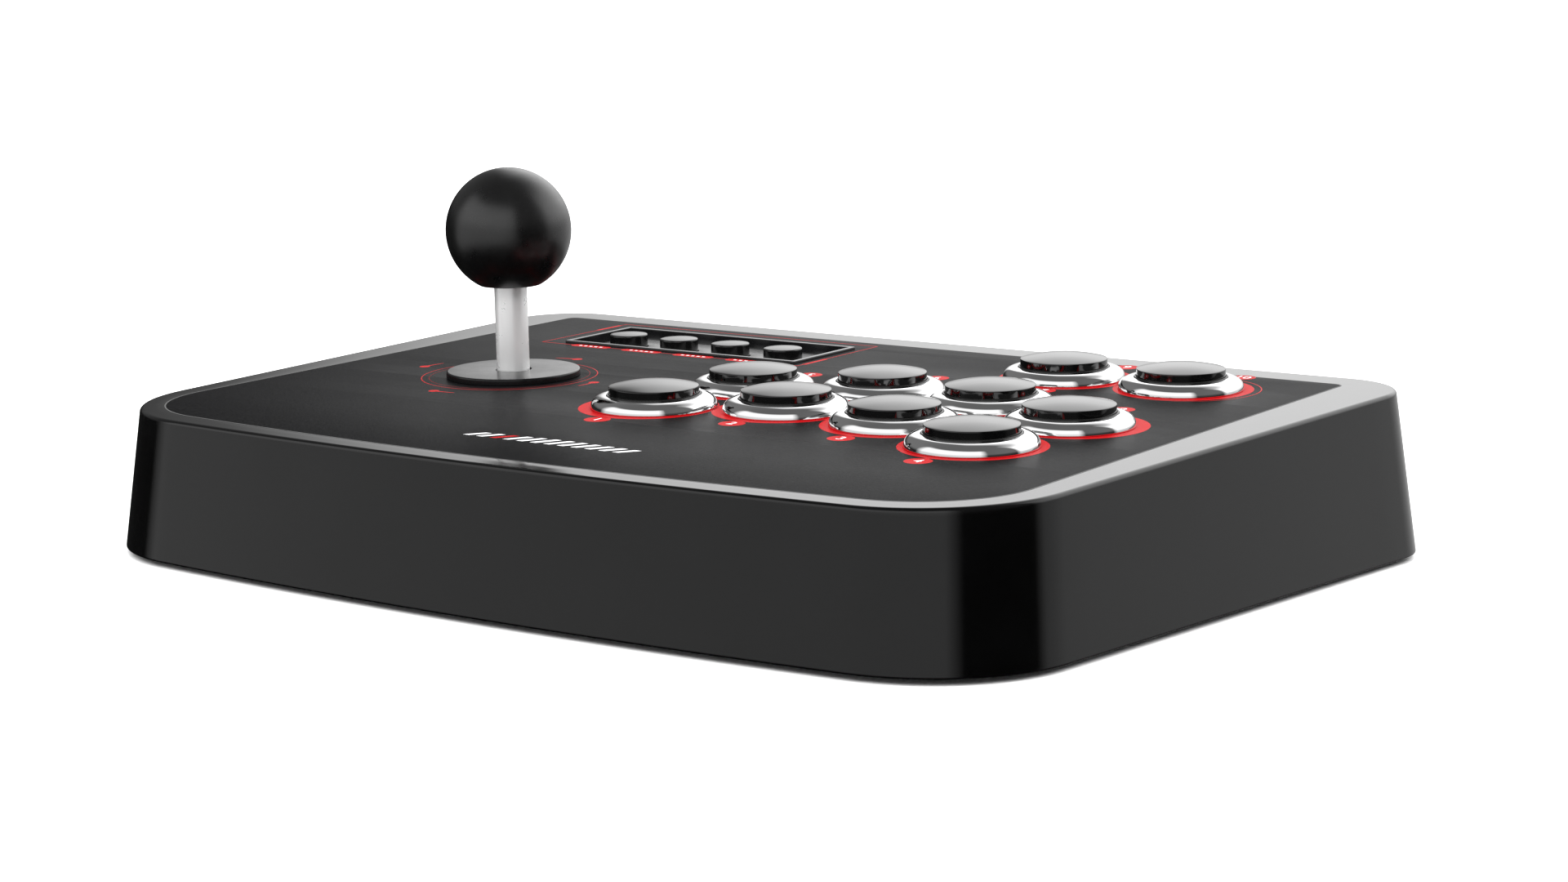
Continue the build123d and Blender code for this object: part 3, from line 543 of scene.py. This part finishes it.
def case_loops():
    """The loops of the case's skin, from the foot up, over the rim, into the pocket and back down."""
    foot = outline(CASE_FOOT)
    top = outline(CASE_TOP)
    count = len(foot)
    foot_points = [Vector((p.x, p.y, CASE_LIFT)) * MM for p in foot]
    top_points = [on_panel(p.x, p.y) for p in top]
    up = [(t - f).normalized() for f, t in zip(foot_points, top_points)]
    normal = PANEL.to_3x3() @ Vector((0, 0, 1))
    inward = []
    for k in range(count):
        along = top_points[(k + 1) % count] - top_points[k - 1]
        inward.append(normal.cross(along).normalized())

    def edge_loops(points, down, across, radius, steps=7):
        """Loops that round an edge: down runs away from it on one side, across on the other."""
        rows = [[] for _ in range(steps + 1)]
        for point, low, side in zip(points, down, across):
            angle = low.angle(side)
            reach = radius / tan(angle / 2)
            middle = point + (low + side).normalized() * (radius / sin(angle / 2))
            start = (point + low * reach - middle).normalized()
            end = (point + side * reach - middle).normalized()
            for k, row in enumerate(rows):
                row.append(middle + start.slerp(end, k / steps) * radius)
        return rows

    foot_in = [Vector((p.x, p.y, CASE_LIFT)) * MM for p in outline(CASE_FOOT, WALL)]
    foot_across = [(b - a).normalized() for a, b in zip(foot_points, foot_in)]
    loops = list(reversed(edge_loops(foot_points, up, foot_across, FOOT_EDGE * MM, 4)))
    for level in SIDE_LEVELS:
        loops.append([f.lerp(t, level) for f, t in zip(foot_points, top_points)])
    loops += edge_loops(top_points, [-u for u in up], inward, EDGE_ROUND * MM)
    pocket = outline(PLATE_EDGE, shift=PLATE_SHIFT)
    opening = outline(PLATE_EDGE, LEDGE, PLATE_SHIFT)
    roof_in = outline(CASE_TOP, WALL)
    rim = loops[-1]
    shelf = -SHEET_THICK - PLATE_THICK
    for level in RIM_LEVELS:
        loops.append([r.lerp(on_panel(p.x, p.y), level) for r, p in zip(rim, pocket)])
    for inset, depth in POCKET_EDGE:
        loops.append([on_panel(p.x, p.y, depth) for p in outline(PLATE_EDGE, inset, PLATE_SHIFT)])
    loops.append([on_panel(p.x, p.y, shelf) for p in pocket])
    loops.append([on_panel(p.x, p.y, shelf) for p in opening])
    loops.append([on_panel(p.x, p.y, -ROOF) for p in opening])
    loops.append([on_panel(p.x, p.y, -ROOF) for p in roof_in])
    loops.append(foot_in)
    return loops


def build_case():
    """The one-piece case with a window in its back wall for the socket."""
    case = loops_mesh("case_shell", case_loops())
    low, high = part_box("usb_socket")
    bm = bmesh.new()
    bmesh.ops.create_cube(bm, size=1.0)
    size = [high[0] - low[0], WINDOW_REACH, high[2] - low[2]]
    center = [(high[0] + low[0]) / 2, high[1], (high[2] + low[2]) / 2]
    bmesh.ops.scale(bm, vec=size, verts=bm.verts)
    bmesh.ops.translate(bm, vec=center, verts=bm.verts)
    cutter_mesh = bpy.data.meshes.new("window_cutter")
    bm.to_mesh(cutter_mesh)
    bm.free()
    cutter = bpy.data.objects.new("window_cutter", cutter_mesh)
    bpy.context.collection.objects.link(cutter)
    cut = case.modifiers.new("window", "BOOLEAN")
    cut.operation = "DIFFERENCE"
    cut.object = cutter
    cut.solver = "EXACT"
    graph = bpy.context.evaluated_depsgraph_get()
    mesh = bpy.data.meshes.new_from_object(case.evaluated_get(graph))
    case.modifiers.clear()
    case.data = mesh
    bpy.data.objects.remove(cutter)
    finish_mesh(mesh)
    dress(case, "case_plastic", stands_for=["body_shell"])


build_case()


# ---- printed film ----
PRINT_THICK = 0.03
FILM_GAP = 0.08                        # film to the edge of its pocket
FILM_ROLL = 0.06
FILM_HIGHLIGHT_INSET = 0.45                     # inside of the grey line that paints a highlight along the film's edge
FILM_HOLE_GAP = 0.25                   # round each barrel


def build_film():
    """Film over the control plate, with its rolled edge, every opening and a grey line along its edge that
    is a painted highlight.
    """
    edge = [(p.x, p.y) for p in outline(PLATE_EDGE, FILM_GAP, PLATE_SHIFT)]
    holes = [circle(c, BARREL_RADIUS + FILM_HOLE_GAP) for c in BUTTONS]
    holes.append(circle(STICK_CENTER, PLATE_HOLE))
    cutout = [side - 2 * TRAY_OVERHANG for side in TRAY_SIZE]
    holes.append(rectangle(TRAY_CENTER, cutout))
    film = flat_shape("printed_film", [edge] + holes, -SHEET_THICK, SHEET_THICK, FILM_ROLL)
    dress(film, "overlay_film", stands_for=["panel_overlay"])
    # a pale grey ink band just inside the film's edge: a painted highlight
    inner = [(p.x, p.y) for p in outline(PLATE_EDGE, FILM_HIGHLIGHT_INSET, PLATE_SHIFT)]
    edge_highlight_band = flat_shape("painted_edge_highlight", [edge, inner], -PRINT_THICK / 2, PRINT_THICK)
    dress(edge_highlight_band, "overlay_film", finish="painted_edge_highlight")


build_film()


# ---- prints on the film ----
PRINT_RADIUS = 18.6                    # red disc under each bezel
PRINT_DRIFT = (-1.4, -0.9, -0.5, 0.2, 0.0, 0.0, 0.5, 1.6, 0.5, 0.7)    # discs off their buttons
DRIFT_LINE = Vector((0.806, 0.592))
PRINT_NUDGE = Vector((0.3, -0.4))
TAG_RADIUS = 3.5
FRONT_TAG = Vector((-0.7, -22.9))      # from a front button to its tag
BACK_TAG = Vector((0.2, 26.4))
PAIR_TAG = Vector((6.1, 24.2))
RING_CENTER = (-76.2, -2.0)
STICK_RING = 24.8
STICK_RINGS = ((0.0, 0.28), (2.2, 0.08))    # inset and width of the two rings
DOT_RADIUS = 1.5
DISC_HOLE = BEZEL_RADIUS - 1.5
SPUR = (0.8, 1.2)                      # how far toward the tag it starts, width
LAST_RING = (1.6, 1.2, 0.3)            # drift, clearance round the disc, width
NUMERAL_SIZE = 4.6
MARKS = (                              # dots round the stick: turn, distance, way of the tail
    (180, 32.0, -1), (93, 32.0, 1), (-92, 30.6, 1), (4, 28.8, -1),
)
MENU_FRAME = ((-108.9, 51.0), (-14.5, 92.0))
MENU_LABEL = (14.0, 3.4)
MENU_LINE = 0.35
MENU_ACCENT = (3, 14, 1.3)             # start and end from the corner, width
DASH = (1.0, 0.8)
DASH_PITCH = 1.9
STROKES = 12
STROKE_START = -24.6
STROKE_PITCH = 4.35
STROKE_WIDTH = 2.0
STROKE_ENDS = ((-1.5, -78.6), (2.1, -72.6))
STROKE_ARCH = 0.25                     # drop of the back ends away from the middle
RED_STROKE = 2


def ring(center, radius, width, segments=128):
    """The two outlines of a ring."""
    return [circle(center, radius, segments), circle(center, radius - width, segments)]


def tail(center, radius, start, way, sweep=13.0, width=0.9):
    """A curved tail that thins out along a circle, as one outline."""
    steps = 8
    outer = []
    inner = []
    for k in range(steps + 1):
        turn = radians(start + way * sweep * k / steps)
        half = width * (1 - 0.6 * k / steps) / 2
        outer.append((center[0] + (radius + half) * cos(turn), center[1] + (radius + half) * sin(turn)))
        inner.append((center[0] + (radius - half) * cos(turn), center[1] + (radius - half) * sin(turn)))
    points = outer + inner[::-1]
    return points if way > 0 else points[::-1]


def bar(low, high, width):
    """A straight stroke between two points, as one outline."""
    along = (Vector(high) - Vector(low)).normalized()
    off = Vector((-along.y, along.x)) * width / 2
    corners = (Vector(low) - off, Vector(high) - off, Vector(high) + off, Vector(low) + off)
    return [tuple(corner) for corner in corners]


def printed(name, loops, slot, depth=0.0):
    """A patch of ink on the film."""
    dress(flat_shape(name, loops, depth - PRINT_THICK / 2, PRINT_THICK), slot)


def tag_places():
    """Where the numbered tag of each button is."""
    steps = [FRONT_TAG] * 4 + [BACK_TAG] * 4 + [PAIR_TAG] * 2
    return [Vector(center) + step for center, step in zip(BUTTONS, steps)]


def build_numerals():
    """The number of each button in white on its tag."""
    for number, place in enumerate(tag_places(), 1):
        curve = bpy.data.curves.new(f"numeral_{number}", "FONT")
        curve.body = str(number)
        curve.size = NUMERAL_SIZE * MM
        curve.align_x = "CENTER"
        curve.align_y = "CENTER"
        curve.extrude = PRINT_THICK / 2 * MM
        holder = bpy.data.objects.new(f"numeral_{number}_curve", curve)
        bpy.context.collection.objects.link(holder)
        graph = bpy.context.evaluated_depsgraph_get()
        mesh = bpy.data.meshes.new_from_object(holder.evaluated_get(graph))
        bpy.data.objects.remove(holder)
        mesh.transform(PANEL @ Matrix.Translation((place.x * MM, place.y * MM, 1.4 * PRINT_THICK * MM)))
        piece = bpy.data.objects.new(f"numeral_{number}", mesh)
        bpy.context.collection.objects.link(piece)
        dress(piece, "print_white")


def build_prints():
    """Red discs and tags, the ring and marks round the stick, the menu frame and labels."""
    for number, (center, drift, tag) in enumerate(zip(BUTTONS, PRINT_DRIFT, tag_places()), 1):
        middle = Vector(center) + DRIFT_LINE * drift + PRINT_NUDGE
        hole = circle(center, DISC_HOLE)
        printed(f"red_disc_{number}", [circle(middle, PRINT_RADIUS, 128), hole], "print_red")
        printed(f"red_tag_{number}", [circle(tag, TAG_RADIUS)], "print_red")
        printed(f"red_spur_{number}", [bar(tag, middle.lerp(tag, SPUR[0]), SPUR[1])], "print_red", -0.005)
    drift, clear, width = LAST_RING
    last = Vector(BUTTONS[9]) + DRIFT_LINE * drift + PRINT_NUDGE
    printed("red_ring_10", ring(last, PRINT_RADIUS + clear, width), "print_red")
    build_numerals()
    for name, (inset, width) in zip(("stick_ring", "stick_ring_inner"), STICK_RINGS):
        printed(name, ring(RING_CENTER, STICK_RING - inset, width), "print_red")
    for number, (turn, reach, way) in enumerate(MARKS, 1):
        dot = (RING_CENTER[0] + reach * cos(radians(turn)), RING_CENTER[1] + reach * sin(radians(turn)))
        printed(f"stick_dot_{number}", [circle(dot, DOT_RADIUS, 32)], "print_red")
        printed(f"stick_tail_{number}", [tail(RING_CENTER, reach, turn, way)], "print_red", -0.005)
    (left, front), (right, back) = MENU_FRAME
    middle = ((left + right) / 2, (front + back) / 2)
    size = (right - left, back - front)
    inner = (size[0] - 2 * MENU_LINE, size[1] - 2 * MENU_LINE)
    printed("menu_frame", [rectangle(middle, size), rectangle(middle, inner)], "print_red")
    near, far, width = MENU_ACCENT
    accent = [bar((left, back - far), (left, back - near), width)]
    printed("menu_accent_back", accent, "print_red", -0.005)
    accent = [bar((right, front + near), (right, front + far), width)]
    printed("menu_accent_front", accent, "print_red", -0.005)
    for number, (x, y) in enumerate(CAPS, 1):
        place = (x, front)
        printed(f"menu_label_{number}", [rectangle(place, MENU_LABEL, 1.6)], "print_red", 0.005)
        dashes = [rectangle((x + k * DASH_PITCH, front), DASH) for k in (-2, -1, 0, 1, 2)]
        printed(f"menu_dashes_{number}", dashes, "print_white", 1.2 * PRINT_THICK)


def build_ornament():
    """Row of slanted strokes in the middle of the front, one of them red."""
    (low_x, low_y), (high_x, high_y) = STROKE_ENDS
    strokes = []
    for k in range(STROKES):
        x = STROKE_START + STROKE_PITCH * k
        top = high_y - STROKE_ARCH * abs(k - (STROKES - 1) / 2)
        low = [(x + low_x, low_y), (x + low_x + STROKE_WIDTH, low_y)]
        high = [(x + high_x + STROKE_WIDTH, top), (x + high_x, top)]
        strokes.append(low + high)
    printed("stripe_row", strokes[:RED_STROKE] + strokes[RED_STROKE + 1:], "print_white")
    printed("stripe_accent", [strokes[RED_STROKE]], "print_red")


build_prints()
build_ornament()


# ---- push buttons ----
def bezel_profile():
    """Section of the chrome ring: bell-shaped flank, rolled lip, open underneath."""
    flank = []
    base = Vector((BEZEL_RADIUS - 0.05, 0.45))
    lip = Vector((COLLAR_RADIUS + 0.3, BEZEL_HEIGHT))
    pull_low = base + Vector((-0.15, 1.6))
    pull_high = lip + Vector((2.6, -0.1))
    for k in range(17):
        t = k / 16
        point = (
            base * (1 - t) ** 3
            + pull_low * 3 * t * (1 - t) ** 2
            + pull_high * 3 * t * t * (1 - t)
            + lip * t ** 3
        )
        flank.append(tuple(point))
    inside = [
        (COLLAR_RADIUS + 0.12, BEZEL_HEIGHT - 0.03),
        (COLLAR_RADIUS + 0.02, BEZEL_HEIGHT - 0.12),
        (COLLAR_RADIUS, BEZEL_HEIGHT - 0.3),
        (COLLAR_RADIUS, COLLAR_SEAT),
        (BARREL_RADIUS + 0.05, COLLAR_SEAT),
        (BARREL_RADIUS + 0.05, 0.0),
    ]
    foot = [(BEZEL_RADIUS - 0.12, 0.0), (BEZEL_RADIUS - 0.02, 0.08), (BEZEL_RADIUS, 0.2)]
    return foot + flank + inside


def plunger_profile():
    """Section of the plunger: crowned top, small edge radius, skirt with its stop flange, stem."""
    rise = PLUNGER_CROWN - PLUNGER_RIM - 0.06
    reach = PLUNGER_RADIUS - 0.18
    crown_radius = (reach ** 2 + rise ** 2) / (2 * rise)
    top = []
    for k in range(15):
        radius = reach * k / 14
        top.append((radius, PLUNGER_CROWN - crown_radius + sqrt(crown_radius ** 2 - radius ** 2)))
    edge = [
        (PLUNGER_RADIUS - 0.1, PLUNGER_RIM + 0.03),
        (PLUNGER_RADIUS - 0.03, PLUNGER_RIM - 0.03),
        (PLUNGER_RADIUS, PLUNGER_RIM - 0.12),
        (PLUNGER_RADIUS, PLUNGER_RIM - 0.2),
    ]
    reach, flange_top, flange_end = PLUNGER_FLANGE
    inside = PLUNGER_RADIUS - PLUNGER_WALL
    stem, stem_end = PLUNGER_STEM
    below = [
        (PLUNGER_RADIUS, flange_top), (PLUNGER_RADIUS + reach, flange_top),
        (PLUNGER_RADIUS + reach, flange_end), (inside, flange_end), (inside, PLUNGER_ROOF),
        (stem, PLUNGER_ROOF), (stem, stem_end), (0, stem_end),
    ]
    return top + edge + below


def barrel_profile():
    """Section of the barrel: collar through the bezel, threaded outside, floor with a pin hole."""
    bore = PLUNGER_RADIUS + 0.1
    points = [
        (bore, COLLAR_HEIGHT - 0.1), (bore + 0.1, COLLAR_HEIGHT),
        (COLLAR_RADIUS - 0.1, COLLAR_HEIGHT), (COLLAR_RADIUS, COLLAR_HEIGHT - 0.1),
        (COLLAR_RADIUS, COLLAR_SEAT), (BARREL_RADIUS, COLLAR_SEAT),
    ]
    floor_top, end = BARREL_FLOOR
    inside = BARREL_RADIUS - BARREL_WALL
    height = THREAD_START
    points.append((BARREL_RADIUS, height))
    while height > floor_top:
        points.append((BARREL_RADIUS - THREAD_DEPTH, height - THREAD_PITCH / 2))
        points.append((BARREL_RADIUS, height - THREAD_PITCH))
        height -= THREAD_PITCH
    points += [(BARREL_RADIUS, end), (BARREL_PIN_HOLE, end), (BARREL_PIN_HOLE, floor_top),
               (inside, floor_top), (inside, PLUNGER_FLANGE[1]), (bore, PLUNGER_FLANGE[1])]
    return points


def build_buttons():
    """Bezel, barrel and plunger of every push button."""
    for number, center in enumerate(BUTTONS, 1):
        bezel = lathe(f"bezel_ring_{number}", bezel_profile(), center, 160, 50)
        dress(bezel, "bezel_chrome", stands_for=[f"button_bezel_{number}"])
        barrel = lathe(f"barrel_{number}", barrel_profile(), center, 96)
        dress(barrel, "nylon_black", stands_for=[f"button_barrel_{number}"])
        plunger = lathe(f"plunger_{number}", plunger_profile(), center, 128, 50)
        dress(plunger, "plunger_plastic", f"plunger_{number}", [f"button_plunger_{number}"])


build_buttons()


# ---- stick ----
def build_stick():
    """Ball knob, polished sleeve of the shaft, and the dust washer."""
    flat = BALL_HEIGHT - BALL_FLAT
    flat_turn = acos(BALL_FLAT / BALL_RADIUS)
    skin = BALL_RADIUS - BALL_SKIN
    ball = [(0, BALL_HEIGHT + skin)]
    for k in range(1, 73):
        turn = (pi - flat_turn) * k / 72
        ball.append((skin * sin(turn), BALL_HEIGHT + skin * cos(turn)))
    ball[-1] = (ball[-1][0] - 0.05, flat + 0.02)
    bore, depth = BALL_BORE
    ball += [(ball[-1][0] - 0.25, flat), (COVER_RADIUS + 0.5, flat), (bore, flat)]
    ball += [(bore, flat + depth), (0, flat + depth)]
    piece = lathe("ball_knob", ball, STICK_CENTER, 160, 40)
    dress(piece, "ball_plastic", "stick", ["ball_top"])
    cover = rounded([
        (COVER_BORE, COVER_END, 0), (COVER_RADIUS, COVER_END, 0.2),
        (COVER_RADIUS, flat, 0.15), (COVER_BORE, flat, 0),
    ])
    piece = lathe("shaft_sleeve", cover, STICK_CENTER, 96, 40)
    dress(piece, "cover_metal", "stick", ["shaft_cover"])
    low, high = WASHER_LIFT, WASHER_LIFT + WASHER_THICK
    washer = rounded([
        (WASHER_BORE, low, 0.1), (WASHER_RADIUS, low, 0.15),
        (WASHER_RADIUS, high, 0.5), (WASHER_BORE, high, 0.3),
    ], closed=True)
    piece = lathe("washer_disc", washer, STICK_CENTER, 160, 40)
    dress(piece, "washer_plastic", "dust_washer", ["dust_washer"])


build_stick()


# ---- menu tray ----
def slab_loop(size, shrink, height, arc=4):
    """A round-cornered rectangle round the tray's middle at a height; its number of points is fixed."""
    half_x = (size[0] - shrink) / 2 - TRAY_CORNER
    half_y = (size[1] - shrink) / 2 - TRAY_CORNER
    corners = [(half_x, -half_y), (half_x, half_y), (-half_x, half_y), (-half_x, -half_y)]
    loop = []
    for turn, (x, y) in enumerate(corners):
        for k in range(arc + 1):
            bend = radians(90 * (turn - 1) + 90 * k / arc)
            x_out = x + TRAY_CORNER * cos(bend)
            y_out = y + TRAY_CORNER * sin(bend)
            loop.append(on_panel(TRAY_CENTER[0] + x_out, TRAY_CENTER[1] + y_out, height))
    return loop


def build_tray():
    """Raised frame with rolled edges, sunk well, floor with a hole for each cap, posts below."""
    body = [side - 2 * TRAY_OVERHANG - 0.1 for side in TRAY_SIZE]
    well = [side - 2 * TRAY_LIP for side in TRAY_SIZE]
    back = -(TRAY_SINK + TRAY_FLOOR)
    section = [                        # outline, shrink, height
        (body, 0, back), (body, 0, 0.0), (TRAY_SIZE, 0, 0.0), (TRAY_SIZE, 0, TRAY_RIM - 0.2),
        (TRAY_SIZE, 0.12, TRAY_RIM - 0.06), (TRAY_SIZE, 0.4, TRAY_RIM), (TRAY_SIZE, 0.46, TRAY_RIM),
        (well, -0.46, TRAY_RIM), (well, -0.4, TRAY_RIM), (well, -0.12, TRAY_RIM - 0.06),
        (well, 0, TRAY_RIM - 0.2), (well, 0, TRAY_RIM - 0.26), (well, 0, 0.3 - TRAY_SINK),
        (well, 0.15, 0.08 - TRAY_SINK), (well, 0.5, -TRAY_SINK), (well, 0.5, back),
    ]
    frame_piece = loops_mesh("tray_frame", [slab_loop(*row) for row in section], 40)
    dress(frame_piece, "tray_plastic", stands_for=["menu_tray"])
    holes = [circle(c, CAP_RADIUS + 0.3) for c in CAPS]
    floor_edge = rectangle(TRAY_CENTER, [side - 0.4 for side in well])
    floor = flat_shape("tray_floor", [floor_edge] + holes, back + 0.01, TRAY_FLOOR - 0.02, 0.05)
    dress(floor, "tray_plastic", stands_for=["menu_tray"], finish="tray_floor")
    radius, end = TRAY_POST
    post_section = [(0, back), (radius, back), (radius, end + 0.2), (radius - 0.2, end), (0, end)]
    reach_x, reach_y = TRAY_POST_REACH
    corners = [(-reach_x, -reach_y), (reach_x, -reach_y), (reach_x, reach_y), (-reach_x, reach_y)]
    for number, (x, y) in enumerate(corners, 1):
        place = (TRAY_CENTER[0] + x, TRAY_CENTER[1] + y)
        post = lathe(f"tray_post_{number}", post_section, place, 32)
        dress(post, "tray_plastic", stands_for=["menu_tray"])


build_tray()


# ---- menu caps ----
def build_caps():
    """The four menu caps: low crown, side, stop flange and stem."""
    rise = CAP_CROWN - CAP_SHOULDER
    top = [(CAP_RADIUS * 0.96 * k / 10, CAP_SHOULDER + rise * (1 - (k / 10) ** 2)) for k in range(11)]
    floor = -(TRAY_SINK + TRAY_FLOOR)
    reach, thick = CAP_FLANGE
    stem, end = CAP_STEM
    side = [
        (CAP_RADIUS - 0.08, CAP_SHOULDER - 0.1), (CAP_RADIUS, CAP_RIM), (CAP_RADIUS, CAP_RIM - 0.06),
        (CAP_RADIUS, floor), (CAP_RADIUS + reach, floor), (CAP_RADIUS + reach, floor - thick),
        (stem, floor - thick), (stem, end), (0, end),
    ]
    for number, center in enumerate(CAPS, 1):
        piece = lathe(f"cap_{number}", top + side, center, 96, 50)
        dress(piece, "cap_plastic", f"menu_cap_{number}", [f"menu_cap_{number}"])


build_caps()


# ---- stage: angles in degrees, lengths in metres ----
FLOOR_REACH = 60.0
FLOOR_FLAT = 30.0                      # the floor rises beyond this distance
FLOOR_SLOPE = 0.12
LAMP_HEIGHT = 12.0
LAMP_SIZE = (40, 40)
LAMP_WATTS = 12000
WALLS = (                              # side and back walls: heading, level
    (-180, 1.35), (-150, 1.4), (-144, 1.25), (-139.7, 0.96), (-137.5, 0.72), (-135.6, 0.41),
    (-134.2, 0.14), (-133, 0.06), (-131, 0.03), (-74, 0.03), (-66, 0.0), (60, 0.0), (112, 0.02),
    (121, 0.9), (140, 1.05), (180, 1.35),
)
WALL_HEIGHT = (                        # the walls' factor: elevation, level
    (-90, 0.03), (-28, 0.03), (-16, 0.5), (3, 0.55), (9, 1.0), (22, 1.5), (40, 1.4), (56, 0.4),
    (70, 0.0),
)
FRONT = ((-75, 0.0), (-61, 1.0), (46, 1.0), (58, 0.0))
FRONT_HEIGHT = (                       # the softbox's factor: elevation, level
    (-90, 0.03), (-28, 0.03), (-16, 0.66), (5, 0.66), (14, 0.95), (40, 0.95), (50, 0.0),
)
CEILING = ((4, 0.0), (14, 0.12))


def soft_light(name, place, aim, size, watts):
    """A rectangular studio light at a place, facing a point; it lights but is not mirrored."""
    light = bpy.data.lights.new(name, "AREA")
    light.shape = "RECTANGLE"
    light.size, light.size_y = size
    light.energy = watts
    holder = bpy.data.objects.new(name, light)
    holder.location = place
    holder.rotation_euler = (Vector(aim) - Vector(place)).to_track_quat("-Z", "Y").to_euler()
    holder.visible_glossy = False
    bpy.context.collection.objects.link(holder)


def math_node(tree, operation, first, second=None):
    """A math node fed by sockets or numbers."""
    node = tree.nodes.new("ShaderNodeMath")
    node.operation = operation
    for socket, value in zip(node.inputs, (first, second)):
        if value is None:
            continue
        if isinstance(value, (int, float)):
            socket.default_value = value
        else:
            tree.links.new(value, socket)
    return node.outputs["Value"]


def levels(tree, angle, steps, reach):
    """Brightness from (degrees, level) steps of an angle in radians that runs from -reach to reach."""
    spread = ramp(tree, angle, 0.0, 1.0, -radians(reach), radians(reach))
    colors = tree.nodes.new("ShaderNodeValToRGB")
    colors.color_ramp.interpolation = "LINEAR"
    marks = colors.color_ramp.elements
    while len(marks) < len(steps):
        marks.new(1.0)
    top = max(level for _, level in steps)
    for mark, (degree, level) in zip(marks, steps):
        mark.position = (degree + reach) / (2 * reach)
        mark.color = (level / top, level / top, level / top, 1)
    tree.links.new(spread, colors.inputs["Fac"])
    return math_node(tree, "MULTIPLY", colors.outputs["Color"], top)


def build_world():
    """Pale studio walls, dim ceiling and a wide softbox in front."""
    world = bpy.data.worlds.new("studio")
    bpy.context.scene.world = world
    world.use_nodes = True
    tree = world.node_tree
    place = tree.nodes.new("ShaderNodeTexCoord")
    axes = tree.nodes.new("ShaderNodeSeparateXYZ")
    tree.links.new(place.outputs["Generated"], axes.inputs["Vector"])
    height = math_node(tree, "ARCSINE", axes.outputs["Z"])
    ahead = math_node(tree, "MULTIPLY", axes.outputs["Y"], -1.0)
    heading = math_node(tree, "ARCTAN2", axes.outputs["X"], ahead)
    parts = []
    for around, upward in ((WALLS, WALL_HEIGHT), (FRONT, FRONT_HEIGHT)):
        across = levels(tree, heading, around, 180)
        parts.append(math_node(tree, "MULTIPLY", across, levels(tree, height, upward, 90)))
    walls_and_front = math_node(tree, "ADD", *parts)
    total = math_node(tree, "ADD", walls_and_front, levels(tree, height, CEILING, 90))
    tree.links.new(total, tree.nodes["Background"].inputs["Strength"])
    tree.nodes["Background"].inputs["Color"].default_value = (1, 1, 1, 1)


def build_stage():
    """White floor with a raised rim far out, one overhead light and the studio world."""
    bm = bmesh.new()
    bmesh.ops.create_grid(bm, x_segments=24, y_segments=24, size=FLOOR_REACH)
    for vert in bm.verts:
        vert.co.z = FLOOR_SLOPE * max(0.0, vert.co.xy.length - FLOOR_FLAT)
    mesh = bpy.data.meshes.new("studio_floor")
    bm.to_mesh(mesh)
    bm.free()
    floor = bpy.data.objects.new("studio_floor", mesh)
    bpy.context.collection.objects.link(floor)
    floor.visible_glossy = False
    material, tree, shader = blank_material("studio_floor")
    shader.inputs["Roughness"].default_value = 0.9
    shader.inputs["Specular IOR Level"].default_value = 0.0
    paper = noise(tree, 30.0, 2.0)
    tone = two_tone(tree, paper, (0.93, 0.93, 0.93), (0.94, 0.94, 0.94))
    tree.links.new(tone, shader.inputs["Base Color"])
    mesh.materials.append(material)
    soft_light("overhead", (0, 0, LAMP_HEIGHT), (0, 0, 0), LAMP_SIZE, LAMP_WATTS)
    build_world()
    bpy.context.scene.view_settings.view_transform = "Standard"


build_stage()


# ---- camera: the lens and its sensor in millimetres, the rest in metres ----
SENSOR_WIDTH = 36.0
FOCAL_LENGTH = 69.4125
VIEW_AZIMUTH = radians(36.317)
VIEW_ELEVATION = radians(9.058)
VIEW_DISTANCE = 0.8123
VIEW_TARGET = Vector((0, 0.0032, 0.0290))
VIEW_YAW = radians(0.846)
VIEW_PITCH = radians(0.033)
VIEW_ROLL = radians(0.013)


def build_camera():
    """Camera of the photo: it stands off the target and looks slightly beside it."""
    camera = bpy.data.cameras.new("photo_camera")
    camera.sensor_width = SENSOR_WIDTH
    camera.lens = FOCAL_LENGTH
    camera.clip_start = 0.01
    holder = bpy.data.objects.new("photo_camera", camera)
    back = Vector((
        sin(VIEW_AZIMUTH) * cos(VIEW_ELEVATION),
        -cos(VIEW_AZIMUTH) * cos(VIEW_ELEVATION),
        sin(VIEW_ELEVATION),
    ))
    right = (-back).cross(Vector((0, 0, 1))).normalized()
    up = right.cross(-back)
    forward = -back * cos(VIEW_YAW) * cos(VIEW_PITCH) + right * sin(VIEW_YAW) * cos(VIEW_PITCH)
    forward = (forward + up * sin(VIEW_PITCH)).normalized()
    right = forward.cross(Vector((0, 0, 1))).normalized()
    up = right.cross(forward)
    tilted_right = right * cos(VIEW_ROLL) + up * sin(VIEW_ROLL)
    tilted_up = up * cos(VIEW_ROLL) - right * sin(VIEW_ROLL)
    turn = Matrix((tilted_right, tilted_up, -forward)).transposed()
    holder.matrix_world = Matrix.Translation(VIEW_TARGET + back * VIEW_DISTANCE) @ turn.to_4x4()
    bpy.context.collection.objects.link(holder)
    bpy.context.scene.camera = holder


build_camera()
